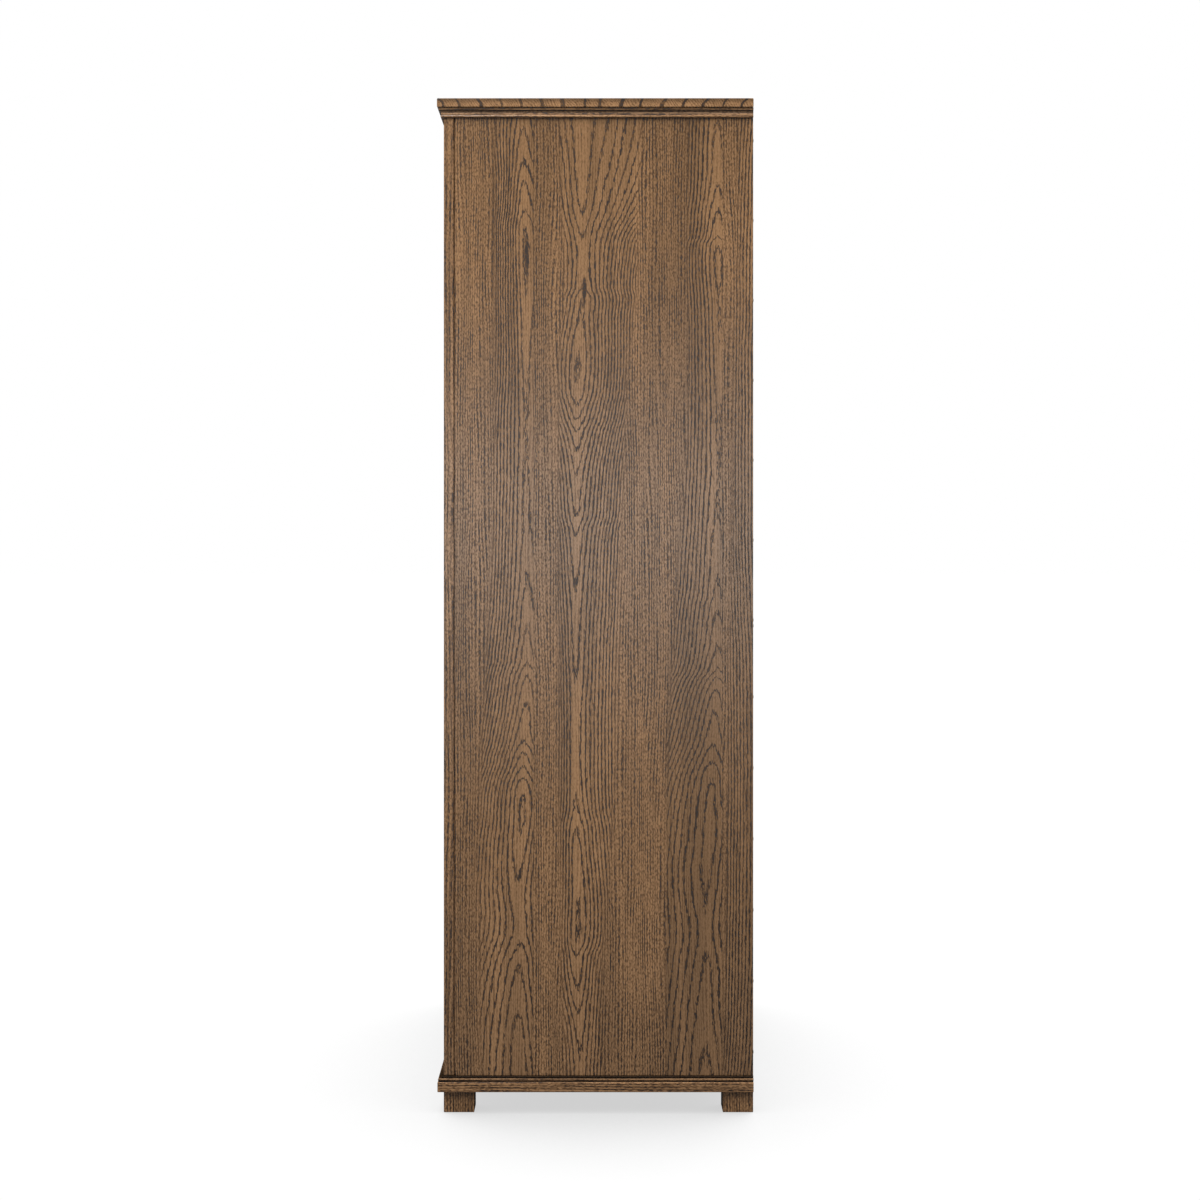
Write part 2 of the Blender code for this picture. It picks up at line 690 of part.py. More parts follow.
def make_hinges(pivots):
    """Two leaves a hinge. The right-hand hinges are the left-hand ones turned over."""
    frame_knuckles = [index for index in range(KNUCKLES) if index % 2 == 0]
    door_knuckles = [index for index in range(KNUCKLES) if index % 2 == 1]
    frame_leaf = leaf_mesh("frame_leaf", 1, frame_knuckles, True)
    door_leaf = leaf_mesh("door_leaf", -1, door_knuckles, False)
    for side, sign in (("left", -1), ("right", 1)):
        for number, level in zip(("low", "middle", "high"), hinge_levels()):
            for kind, mesh, pivot in (("frame", frame_leaf, None), ("door", door_leaf, pivots[side])):
                leaf = bpy.data.objects.new(f"hinge_{side}_{number}_{kind}_leaf", mesh)
                leaf.location = (sign * HINGE_X, FRONT, level)
                leaf.rotation_euler.y = math.pi if sign > 0 else 0.0
                place(leaf, brass, pivot)


def knob_outline():
    """Radius and height from the middle of the face, over the head and the neck, to the rose."""
    head_low = KNOB_PROJECTION - KNOB_HEAD_THICKNESS
    head_middle = KNOB_PROJECTION - KNOB_CROWN_HEIGHT
    points = arc(0.0, head_middle, KNOB_RADIUS, KNOB_CROWN_HEIGHT, 90, 0)
    underside = head_middle - head_low
    points += arc(0.0, head_middle, KNOB_RADIUS, underside, 0, KNOB_UNDERSIDE_TURN)[1:]
    rose_top = KNOB_ROSE_THICKNESS + JOINT_GAP
    neck_low = rose_top + KNOB_ROSE_THICKNESS
    points.append((KNOB_NECK_RADIUS, head_low))
    points.append((KNOB_NECK_RADIUS, neck_low))
    points.append((KNOB_ROSE_RADIUS - ARRIS, rose_top))
    points.append((KNOB_ROSE_RADIUS, rose_top - ARRIS))
    points.append((KNOB_ROSE_RADIUS, JOINT_GAP))
    points.append((0.0, JOINT_GAP))
    return points


def make_knobs(pivots):
    for side, sign in (("left", -1), ("right", 1)):
        outline = knob_outline()
        mesh = bpy.data.meshes.new("knob_" + side)
        shape = bmesh.new()
        corners = [shape.verts.new((radius, 0.0, height)) for radius, height in outline]
        for first, second in zip(corners, corners[1:]):
            shape.edges.new((first, second))
        shape.to_mesh(mesh)
        shape.free()
        knob = bpy.data.objects.new("knob_" + side, mesh)
        turn = knob.modifiers.new("turned", "SCREW")
        turn.steps = KNOB_SIDES
        turn.render_steps = KNOB_SIDES
        turn.use_merge_vertices = True
        turn.merge_threshold = WELD_DISTANCE
        knob.rotation_euler.x = math.pi / 2
        knob.location = (sign * (MEETING_GAP / 2 + DOOR_STILE_WIDTH / 2), FRONT, KNOB_HEIGHT)
        place(knob, brass, pivots[side])


def make_catches():
    """Magnetic catches under the top panel, against the doors' backs."""
    for side, sign in (("left", -1), ("right", 1)):
        near = sign * (MEETING_GAP / 2 + CATCH_INSET)
        far = near + sign * CATCH_LENGTH
        catch = box(
            "catch_" + side,
            (near, CASE_FRONT, CEILING - JOINT_GAP - CATCH_HEIGHT),
            (far, CASE_FRONT + CATCH_DEPTH, CEILING - JOINT_GAP),
        )
        place(ease(catch), catch_shell)


for old in list(bpy.data.objects):
    bpy.data.objects.remove(old, do_unlink=True)

cabinet = new_collection("tall_cabinet")
tools = new_collection("cutters")

oak = finish("smoked_oak", (0.198, 0.122, 0.075), 0.55)
oak_dark = finish("smoked_oak_foot", (0.112, 0.070, 0.040), 0.60)
oak_inside = finish("smoked_oak_inside", (0.226, 0.144, 0.088), 0.60)
brass = finish("aged_brass", (0.235, 0.150, 0.066), 0.42, 1.0)
catch_shell = finish("catch_shell", (0.045, 0.038, 0.033), 0.5)

door_pivots = {}
for door_side, door_sign in (("left", -1), ("right", 1)):
    door_pivot = bpy.data.objects.new(f"door_{door_side}_pivot", None)
    door_pivot.location = (door_sign * HINGE_X, FRONT, DOOR_BOTTOM)
    cabinet.objects.link(door_pivot)
    door_pivots[door_side] = door_pivot

make_feet()
make_base()
make_cornice()
make_sides()
make_case_panels()
make_shelves()
make_face_frame()
for door_side, door_sign in (("left", -1), ("right", 1)):
    make_door_stiles(door_side, door_sign, door_pivots[door_side])
    make_door_rails(door_side, door_sign, door_pivots[door_side])
    make_door_panels(door_side, door_sign, door_pivots[door_side])
make_hinges(door_pivots)
make_knobs(door_pivots)
make_catches()
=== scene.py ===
"""Looks of the tall cabinet: smoked oak, aged brass and small fittings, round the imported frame.

Left and right are as seen from the front, so left is -X.
"""

import math

import bmesh
import bpy
from mathutils import Matrix, Vector


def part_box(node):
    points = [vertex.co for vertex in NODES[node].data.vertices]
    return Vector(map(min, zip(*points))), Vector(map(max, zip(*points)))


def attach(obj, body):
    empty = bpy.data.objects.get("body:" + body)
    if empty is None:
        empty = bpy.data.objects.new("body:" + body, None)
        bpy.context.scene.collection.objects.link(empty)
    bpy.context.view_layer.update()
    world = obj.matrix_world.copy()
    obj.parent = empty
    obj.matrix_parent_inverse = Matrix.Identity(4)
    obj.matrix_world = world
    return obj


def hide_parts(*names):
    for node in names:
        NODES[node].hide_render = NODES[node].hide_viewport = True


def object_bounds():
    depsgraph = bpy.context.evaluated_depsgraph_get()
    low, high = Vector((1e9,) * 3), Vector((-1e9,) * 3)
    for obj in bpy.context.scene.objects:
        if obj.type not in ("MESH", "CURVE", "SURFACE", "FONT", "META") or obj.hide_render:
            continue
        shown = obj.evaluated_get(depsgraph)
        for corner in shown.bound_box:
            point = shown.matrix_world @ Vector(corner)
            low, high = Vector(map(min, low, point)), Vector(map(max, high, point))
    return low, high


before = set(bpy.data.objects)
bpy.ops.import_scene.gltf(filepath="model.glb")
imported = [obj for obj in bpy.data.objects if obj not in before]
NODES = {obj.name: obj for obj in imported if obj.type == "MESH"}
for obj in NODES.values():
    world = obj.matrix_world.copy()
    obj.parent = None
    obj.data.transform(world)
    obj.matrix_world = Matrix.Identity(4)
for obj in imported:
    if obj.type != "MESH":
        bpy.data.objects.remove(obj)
cad_low, cad_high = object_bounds()
MM = 0.001


def linear(code):
    """An sRGB hex colour as linear red, green, blue and alpha."""
    parts = [int(code[index:index + 2], 16) / 255 for index in (1, 3, 5)]
    return tuple(c / 12.92 if c <= 0.04045 else ((c + 0.055) / 1.055) ** 2.4 for c in parts) + (1.0,)


def fill(tree, item, inputs):
    """Fills a node's inputs, in order or by name, with values, sockets or nodes."""
    for name, value in inputs.items() if isinstance(inputs, dict) else enumerate(inputs):
        if isinstance(value, bpy.types.Node):
            value = value.outputs[0]
        if isinstance(value, bpy.types.NodeSocket):
            tree.links.new(value, item.inputs[name])
        else:
            item.inputs[name].default_value = value


def add(tree, kind, inputs=(), way=None, **settings):
    """Adds a node with its settings, and fills its inputs.

    The way is the node's operation or interpolation. A kind in capitals is a maths node's operation.
    """
    if kind.isupper():
        kind, way = "Math", kind
    own_name = kind.startswith(("Node", "Geometry", "Function"))
    item = tree.nodes.new(kind if own_name else "ShaderNode" + kind)
    if way:
        setattr(item, "operation" if hasattr(item, "operation") else "interpolation_type", way)
    for name, value in settings.items():
        setattr(item, name, value)
    fill(tree, item, inputs)
    return item


def new_material(name):
    """A material with nodes, and its tree and shader."""
    material = bpy.data.materials.new(name)
    material.use_nodes = True
    return material, material.node_tree, material.node_tree.nodes["Principled BSDF"]


def new_group(name, kind, inputs, outputs):
    """An empty node group with sockets of the given types, and the outputs of its input node."""
    group = bpy.data.node_groups.new(name, kind)
    for in_out, sockets in (("INPUT", inputs), ("OUTPUT", outputs)):
        for label, socket in sockets.items():
            group.interface.new_socket(name=label, in_out=in_out, socket_type="NodeSocket" + socket)
    return group, add(group, "NodeGroupInput").outputs


def new_item(name, data):
    """An object in the scene."""
    item = bpy.data.objects.new(name, data)
    bpy.context.scene.collection.objects.link(item)
    return item


def stretched_noise(tree, place, widths, detail=1.0):
    """Noise whose grains measure the widths in metres along the board's across, through and along."""
    scale = [1 / width for width in widths]
    at = add(tree, "VectorMath", [place, scale], "MULTIPLY")
    return add(tree, "TexNoise", {"Vector": at, "Scale": 1.0, "Detail": detail, "Roughness": 0.6})


def grain(tree, place, widths, detail, limits):
    """One of the grain's noises, spread over the part of its range that counts."""
    return add(tree, "MapRange", [stretched_noise(tree, place, widths, detail), *limits], "SMOOTHSTEP")


def off_middle(tree, count):
    """How far a count is from the middle of the step that it is in, from 0 to 0.5."""
    inside = add(tree, "FRACT", [count])
    off = add(tree, "SUBTRACT", [inside, 0.5])
    return add(tree, "ABSOLUTE", [off])


# Smoked oak: a ring-porous wood, stained and then sprayed with a thin satin lacquer. The open pores,
# which start each year's growth, took up the dark stain, so they read as beaded lines, and the dense
# wood between them stays a light, warm brown. The lacquer gives a soft, fairly tight sheen.
OAK_LIGHT = "#A17B56"
OAK_MIDDLE = "#7C5C3E"
OAK_MIDDLE_AT = 0.36
OAK_DARK = "#2A1B10"
RING_LINE = 3.1 * MM
LINE_EDGE = (0.62, 0.32)
# How faint and how strong a ring can be.
VIGOUR = (0.85, 1.18)
HEART_ROUNDING = 10 * MM
ARCH_LENGTH = 24 * MM
# The share of the rings' rate at the heart, and how much it rises for each metre away from there.
HEART_RATE = 0.93
RINGS_TIGHTEN = 3.0
# Real pores are 0.3 mm wide, and the rings of the plain wood beside the figure 2 mm apart. They are
# drawn 2 to 3 mm wide and 6 mm apart, so that they show.
PLAIN_RING = 5.6 * MM
PLAIN_EDGE = (0.38, 0.12)
PLAIN_TILT = 0.7
PLAIN_WANDER = 5.0
LOOSE_PORES = 0.45
RIFT_DARKNESS = 0.90
# The noises: their grains across, through and along the board, and for some also their detail, and
# the part of their range that counts, with what its two ends become.
PORES = ((2.2 * MM, 2.2 * MM, 6 * MM), 0.0, (0.46, 0.64))
DASHES = ((2.8 * MM, 2.8 * MM, 11 * MM), 0.0, (0.36, 0.58, 0.30, 1.0))
BEADS = ((3.0 * MM, 3.0 * MM, 7 * MM), 1.0, (0.36, 0.54, 0.50, 1.05))
BANDS = ((10 * MM, 10 * MM, 120 * MM), 1.0, (0.34, 0.62, 0.35, 1.0))
CLOUDS = ((70 * MM, 70 * MM, 300 * MM), 3.0, (0.3, 0.7, 0.92, 1.08))
STREAKS = ((22 * MM, 22 * MM, 900 * MM), 1.0, (0.3, 0.7, 0.89, 1.11))
WANDER = (40 * MM, 40 * MM, 500 * MM)
DRIFT = (90 * MM, 90 * MM, 500 * MM)
WAVE = (34 * MM, 60 * MM, 120 * MM)
ZIGZAG = (2.6 * MM, 20 * MM, 16 * MM)
# How many rings the wave and the zigzag move the growth by.
WAVE_RINGS = 0.80
ZIGZAG_RINGS = 0.70
PORE_RELIEF = {"Distance": 0.08 * MM, "Strength": 0.4}
SMOOTH_ROUGHNESS = 0.17
PORE_ROUGHNESS = 0.29
# How squarely a face must look along the board to be its end, or across it to be its narrow edge.
END_FACE = (0.4, 0.9)
EDGE_FACE = (0.60, 0.85)
END_GRAIN_TONE = 0.72
# How much of the plain wood's lines and pores is left where the figure shows in full.
RIFT_IN_FIGURE = 0.38


def oak_surface():
    """The finish of every oak piece, from the growth rings at a place and how strongly they show."""
    names = ("Across", "Through", "Along", "Rings", "Line", "Figure", "Rift", "Tone", "End", "Eye", "Edge")
    results = {"Colour": "Color", "Roughness": "Float", "Height": "Float"}
    inputs = dict.fromkeys(names, "Float")
    group, given = new_group("smoked oak surface", "ShaderNodeTree", inputs, results)
    place = add(group, "CombineXYZ", [given["Across"], given["Through"], given["Along"]])

    half = add(group, "ADD", [given["Rings"], 0.5])
    share = add(group, "DIVIDE", [off_middle(group, half), given["Line"]])
    line = add(group, "MapRange", [share, *LINE_EDGE], "SMOOTHSTEP")
    number = add(group, "FLOOR", [half])
    vigour = add(group, "TexWhiteNoise", {"W": number}, noise_dimensions="1D")
    vigour = add(group, "MapRange", [vigour, 0.0, 1.0, *VIGOUR], "SMOOTHSTEP")
    beads = grain(group, place, *BEADS)
    broad = add(group, "SUBTRACT", [1.0, given["Edge"]])
    drawn = line
    for factor in (beads, vigour, broad, given["Figure"]):
        drawn = add(group, "MULTIPLY", [drawn, factor])
    eye = add(group, "MULTIPLY", [beads, given["Eye"]])
    drawn = add(group, "MAXIMUM", [drawn, eye])

    wander = stretched_noise(group, place, WANDER)
    plain = add(group, "MULTIPLY_ADD", [given["Through"], PLAIN_TILT, given["Across"]])
    plain = add(group, "MULTIPLY", [plain, 1 / PLAIN_RING])
    plain = add(group, "MULTIPLY_ADD", [wander, PLAIN_WANDER, plain])
    plain = add(group, "MapRange", [off_middle(group, plain), *PLAIN_EDGE], "SMOOTHSTEP")
    bands = grain(group, place, *BANDS)
    dashes = grain(group, place, *DASHES)
    pores = grain(group, place, *PORES)
    rift = add(group, "MULTIPLY", [plain, bands])
    rift = add(group, "MULTIPLY", [rift, dashes])
    rift = add(group, "MULTIPLY_ADD", [pores, LOOSE_PORES, rift])
    rift = add(group, "MULTIPLY", [rift, RIFT_DARKNESS])
    share = add(group, "MAXIMUM", [given["Rift"], given["Edge"]])
    rift = add(group, "MULTIPLY", [rift, share])
    left = add(group, "SUBTRACT", [1.0, drawn])
    dark = add(group, "MULTIPLY_ADD", [rift, left, drawn], use_clamp=True)

    ramp = add(group, "ValToRGB", [dark])
    ramp.color_ramp.elements[0].color = linear(OAK_LIGHT)
    ramp.color_ramp.elements[1].color = linear(OAK_DARK)
    ramp.color_ramp.elements.new(OAK_MIDDLE_AT).color = linear(OAK_MIDDLE)
    cloud = grain(group, place, *CLOUDS)
    streak = grain(group, place, *STREAKS)
    ends = add(group, "MapRange", [given["End"], *END_FACE, 1.0, END_GRAIN_TONE], "SMOOTHSTEP")
    tone = given["Tone"]
    for factor in (cloud, streak, ends):
        tone = add(group, "MULTIPLY", [tone, factor])
    colour = add(group, "VectorMath", {0: ramp, "Scale": tone}, "SCALE")
    rough = add(group, "MULTIPLY_ADD", [dark, PORE_ROUGHNESS - SMOOTH_ROUGHNESS, SMOOTH_ROUGHNESS])
    height = add(group, "MULTIPLY", [dark, -1.0])
    add(group, "NodeGroupOutput", {"Colour": colour, "Roughness": rough, "Height": height})
    return group


OAK_SURFACE = oak_surface()


def board_places(tree, axes):
    """Across, through and along the board, and how far the surface is its end grain or its narrow edge.

    The axes name the three in that order, such as yxz for a side with upright grain.
    """
    where = add(tree, "TexCoord").outputs
    place = add(tree, "SeparateXYZ", [where["Object"]]).outputs
    outward = add(tree, "SeparateXYZ", [where["Normal"]]).outputs
    across, through, along = ("xyz".index(axis) for axis in axes)
    end = add(tree, "ABSOLUTE", [outward[along]])
    edge = add(tree, "ABSOLUTE", [outward[across]])
    return {
        "Across": place[across],
        "Through": place[through],
        "Along": place[along],
        "End": end,
        "Edge": add(tree, "MapRange", [edge, *EDGE_FACE], "SMOOTHSTEP"),
    }


def jag(tree, board):
    """The unevenness of growth: a slow wave, and the zigzag that shows at the arches' tips."""
    place = add(tree, "CombineXYZ", [board["Across"], board["Through"], board["Along"]])
    wave = stretched_noise(tree, place, WAVE)
    zigzag = stretched_noise(tree, place, ZIGZAG)
    mean = (WAVE_RINGS + ZIGZAG_RINGS) / 2
    wave = add(tree, "MULTIPLY_ADD", [wave, WAVE_RINGS, -mean])
    return add(tree, "MULTIPLY_ADD", [zigzag, ZIGZAG_RINGS, wave])


def arches(tree, offset, depth, rate):
    """Growth rings round a heart line, and the width of a ring's line, in rings.

    The offset is the distance across from the heart, the depth the rings between the face and the
    heart at this height, and the rate the rings for each metre across.
    """
    square = add(tree, "MULTIPLY", [offset, offset])
    square = add(tree, "ADD", [square, HEART_ROUNDING ** 2])
    span = add(tree, "POWER", [square, 0.5])
    out = add(tree, "SUBTRACT", [span, HEART_ROUNDING])
    tight = add(tree, "MULTIPLY_ADD", [out, RINGS_TIGHTEN, HEART_RATE])
    rate = add(tree, "MULTIPLY", [rate, tight])
    rings = add(tree, "MULTIPLY_ADD", [out, rate, depth])
    slope = add(tree, "DIVIDE", [offset, span])
    slope = add(tree, "MULTIPLY", [slope, rate])
    slope = add(tree, "MULTIPLY", [slope, slope])
    slope = add(tree, "ADD", [slope, ARCH_LENGTH ** -2])
    slope = add(tree, "POWER", [slope, 0.5])
    line = add(tree, "MULTIPLY", [slope, RING_LINE])
    return rings, line


def height_curve(tree, along, points):
    """A value that changes smoothly with the height, through points of millimetres up and value."""
    least = min(value for _, value in points)
    most = max(value for _, value in points)
    top = points[-1][0]
    share = add(tree, "DIVIDE", [along, top * MM])
    curve = add(tree, "FloatCurve", {"Value": share})
    knots = curve.mapping.curves[0].points
    spots = [(height / top, (value - least) / (most - least)) for height, value in points]
    knots[0].location = spots[0]
    knots[1].location = spots[-1]
    for spot in spots[1:-1]:
        knots.new(*spot)
    curve.mapping.update()
    return add(tree, "MULTIPLY_ADD", [curve, most - least, least])


def oak_shader(tree, shader, look):
    """Joins the oak surface to a shader: satin lacquer, duller and a little sunk in the pores."""
    colour, rough, height = add(tree, "Group", look, node_tree=OAK_SURFACE).outputs
    bump = add(tree, "Bump", {"Height": height} | PORE_RELIEF)
    fill(tree, shader, {"Base Color": colour, "Roughness": rough, "Normal": bump})


# The side's veneer, as the photograph shows it: slip-matched leaves from front to back, each up to its
# reach. A curve is points of millimetres up and value. The heart is where the arches' tips stand. The
# depth is the rings over the heart: where it falls with the height the arches point up, and where it
# rises they point down. Ahead and behind are the rings for each metre before and after the heart, and
# the figure shows as far from it as the shown curves say. An eye is where the cut only just met a
# ring, whose pores fill a dark spot: its height, its place behind the heart, half its length and half
# its width.
# The leaves' tone curves are painted shade, which darkens the side towards the floor, most on the rear two.
NARROW = ((50, 0.050), (2030, 0.040))
SIDE_LEAVES = (
    {
        "reach": -0.1152, "tone": ((50, 0.91), (600, 0.98), (2030, 1.00)),
        "eye": (1.716, 0.0020, 0.042, 0.0044),
        "shown ahead": ((50, 0.076), (800, 0.084), (1300, 0.062), (1700, 0.062), (2030, 0.052)),
        "shown behind": NARROW,
        "heart": (
            (50, -0.1410), (250, -0.1440), (360, -0.1420), (460, -0.1475), (610, -0.1360), (740, -0.1350),
            (810, -0.1304), (950, -0.1280), (1320, -0.1304), (1700, -0.1310), (1906, -0.1354),
            (2030, -0.1354),
        ),
        "ahead": (
            (50, 62), (273, 70), (369, 80), (465, 100), (609, 116), (978, 128), (1340, 137), (1472, 160),
            (1646, 182), (1820, 190), (1900, 160), (1986, 120), (2030, 115),
        ),
        "behind": ((50, 90), (600, 110), (1340, 100), (2030, 110)),
        "depth": (
            (50, -10.9), (195, -10), (289, -9), (341, -8), (367, -7.6), (451, -8), (573, -9), (601, -9.15),
            (633, -9), (671, -8), (692, -7), (722, -6), (746, -5), (818, -4), (876, -3), (900, -2),
            (966, -1), (1068, 0), (1322, 1), (1560, 0.5), (1670, 0), (1716, -0.04), (1762, 0), (1806, 1),
            (1862, 2), (1906, 3), (2030, 4.6),
        ),
    },
    {
        "reach": 0.1513, "tone": ((50, 0.97), (600, 1.03), (1200, 1.00), (2030, 1.00)),
        "eye": (1.650, 0.0020, 0.026, 0.0050),
        "shown ahead": ((50, 0.030), (1000, 0.032), (2030, 0.046)),
        "shown behind": ((50, 0.046), (300, 0.050), (600, 0.076), (1500, 0.100), (2030, 0.124)),
        "heart": (
            (50, -0.0223), (130, -0.0223), (300, -0.0290), (370, -0.0261), (600, -0.0318), (1050, -0.0312),
            (1350, -0.0292), (1500, -0.0261), (1600, -0.0190), (1660, -0.0152), (1800, -0.0192),
            (2030, -0.0192),
        ),
        "ahead": ((50, 150), (200, 150), (600, 200), (1340, 147), (1700, 120), (2030, 60)),
        "behind": (
            (50, 139), (220, 139), (500, 122), (1340, 125), (1604, 125), (1712, 109), (1794, 74),
            (1874, 52), (1955, 42), (2030, 38),
        ),
        "depth": (
            (50, 10.6), (123, 10), (195, 9), (250, 8), (317, 7), (347, 6), (378, 5.9), (409, 6), (569, 7),
            (615, 8), (745, 8.4), (886, 8), (1050, 7), (1166, 6), (1194, 5), (1283, 4), (1332, 3),
            (1367, 2), (1387, 1), (1419, 0), (1460, -1), (1494, -1.1), (1526, -1), (1600, -0.1), (1630, 0),
            (1652, 1), (1720, 1.3), (1760, 1), (1816, 0), (2030, -0.9),
        ),
    },
    {
        "reach": 0.2630, "tone": ((50, 0.74), (700, 0.82), (1200, 0.95), (2030, 1.00)),
        "shown ahead": ((50, 0.072), (700, 0.092), (1300, 0.066), (2030, 0.060)),
        "shown behind": NARROW,
        "heart": (
            (50, 0.2288), (190, 0.2288), (315, 0.2330), (425, 0.2288), (535, 0.2354), (837, 0.2494),
            (920, 0.2534), (1070, 0.2524), (1530, 0.2575), (1700, 0.2545), (2030, 0.2524),
        ),
        "ahead": (
            (50, 58), (260, 62), (600, 75), (800, 100), (1340, 120), (1700, 140), (1850, 125), (2030, 120),
        ),
        "behind": ((50, 70), (600, 90), (1340, 100), (2030, 110)),
        "depth": (
            (50, -10.5), (139, -10), (311, -9), (365, -8.6), (421, -9), (536, -9.5), (657, -9), (703, -8),
            (740, -7), (800, -6), (843, -5), (870, -4), (884, -3), (928, -2), (1006, -1), (1062, 0),
            (1296, 1), (1560, 0.25), (1645, 0), (1690, -0.3), (1737, 0), (1754, 1), (1804, 2), (1850, 3),
            (1980, 4), (2030, 4.6),
        ),
    },
    {
        "reach": 1.0, "tone": ((50, 0.76), (700, 0.83), (1200, 0.95), (2030, 0.98)),
        "shown ahead": ((50, 0.120), (2030, 0.090)),
        "shown behind": NARROW,
        "heart": ((50, 0.385), (2030, 0.386)),
        "ahead": ((50, 110), (2030, 120)),
        "behind": ((50, 110), (2030, 120)),
        "depth": ((50, 0), (700, 3), (1300, 1), (2030, 4)),
    },
)
# Painted light and shade on the whole side by the height, and the painted shadow close under the cornice.
SIDE_PAINTED_SHADING = (
    (50, 0.93), (175, 0.94), (475, 1.00), (776, 0.96), (1076, 0.87), (1376, 0.86), (1676, 0.95),
    (1976, 0.86), (2030, 0.85),
)
SHADOW_PAINTED_UNDER_CORNICE = (1.990, 1.970, 0.84, 1.0)
JOINT = (0.28 * MM, 1.12 * MM, 0.86, 1.0)
FIGURE_FADE = 9 * MM
EYE_RIM = (1.20, 0.45, 0.0, 1.3)


def leaf_look(tree, board, leaf, uneven):
    """The growth rings of one leaf of the side's veneer, and where its figure shows."""
    curves = {
        label: height_curve(tree, board["Along"], points)
        for label, points in leaf.items() if label not in ("reach", "eye")
    }
    offset = add(tree, "SUBTRACT", [board["Across"], curves["heart"]])
    is_behind = add(tree, "GREATER_THAN", [offset, 0.0])
    rate = add(tree, "Mix", {0: is_behind, 2: curves["ahead"], 3: curves["behind"]})
    depth = add(tree, "ADD", [curves["depth"], uneven])
    rings, line = arches(tree, offset, depth, rate)
    shown = add(tree, "Mix", {0: is_behind, 2: curves["shown ahead"], 3: curves["shown behind"]})
    aside = add(tree, "ABSOLUTE", [offset])
    past = add(tree, "SUBTRACT", [aside, shown])
    figure = add(tree, "MapRange", [past, -FIGURE_FADE, FIGURE_FADE, 1.0, 0.0], "SMOOTHSTEP")
    eye = 0.0
    if "eye" in leaf:
        height, behind_heart, half_length, half_width = leaf["eye"]
        aside = add(tree, "MULTIPLY_ADD", [offset, 1 / half_width, -behind_heart / half_width])
        above = add(tree, "MULTIPLY_ADD", [board["Along"], 1 / half_length, -height / half_length])
        place = add(tree, "CombineXYZ", [aside, above, uneven])
        far = add(tree, "VectorMath", [place], "LENGTH").outputs["Value"]
        eye = add(tree, "MapRange", [far, *EYE_RIM], "SMOOTHSTEP")
    return {"Rings": rings, "Line": line, "Figure": figure, "Tone": curves["tone"], "Eye": eye}


def side_veneer():
    """Slip-matched leaves of oak veneer on the sides."""
    material, tree, shader = new_material("smoked oak side veneer")
    board = board_places(tree, "yxz")
    uneven = jag(tree, board)
    look = leaf_look(tree, board, SIDE_LEAVES[0], uneven)
    seams = 1.0
    for ahead, leaf in zip(SIDE_LEAVES, SIDE_LEAVES[1:]):
        found = leaf_look(tree, board, leaf, uneven)
        past = add(tree, "SUBTRACT", [board["Across"], ahead["reach"]])
        behind = add(tree, "GREATER_THAN", [past, 0.0])
        look = {label: add(tree, "Mix", {0: behind, 2: look[label], 3: found[label]}) for label in look}
        gap = add(tree, "ABSOLUTE", [past])
        seam = add(tree, "MapRange", [gap, *JOINT], "SMOOTHSTEP")
        seams = add(tree, "MULTIPLY", [seam, seams])
    # The height curve is painted light and shade, and the darkening close under the cornice is painted
    # shadow.
    drift = height_curve(tree, board["Along"], SIDE_PAINTED_SHADING)
    shade = add(tree, "MapRange", [board["Along"], *SHADOW_PAINTED_UNDER_CORNICE], "SMOOTHSTEP")
    for factor in (seams, drift, shade):
        look["Tone"] = add(tree, "MULTIPLY", [look["Tone"], factor])
    look["Rift"] = add(tree, "MULTIPLY_ADD", [look["Figure"], RIFT_IN_FIGURE - 1.0, 1.0])
    oak_shader(tree, shader, board | look)
    return material


# A glued-up board's rings over its heart, in a noise this long, and its rings for each metre across.
BOARD_WAVE = 600 * MM
BOARD_RINGS = 24.0
BOARD_RATE = (90.0, 170.0)
BOARD_FIGURE = (56 * MM, 34 * MM)
BOARD_TONE = (0.93, 1.07)
BOARD_JOINT = (1.2 * MM, 0.3 * MM)
BOARD_JOINT_TONE = 0.84
# Where a board's heart can be on its width, and how far apart two boards' places in the noise are.
HEART_PLACES = (0.05, 0.95)
BOARD_APART = 7.31


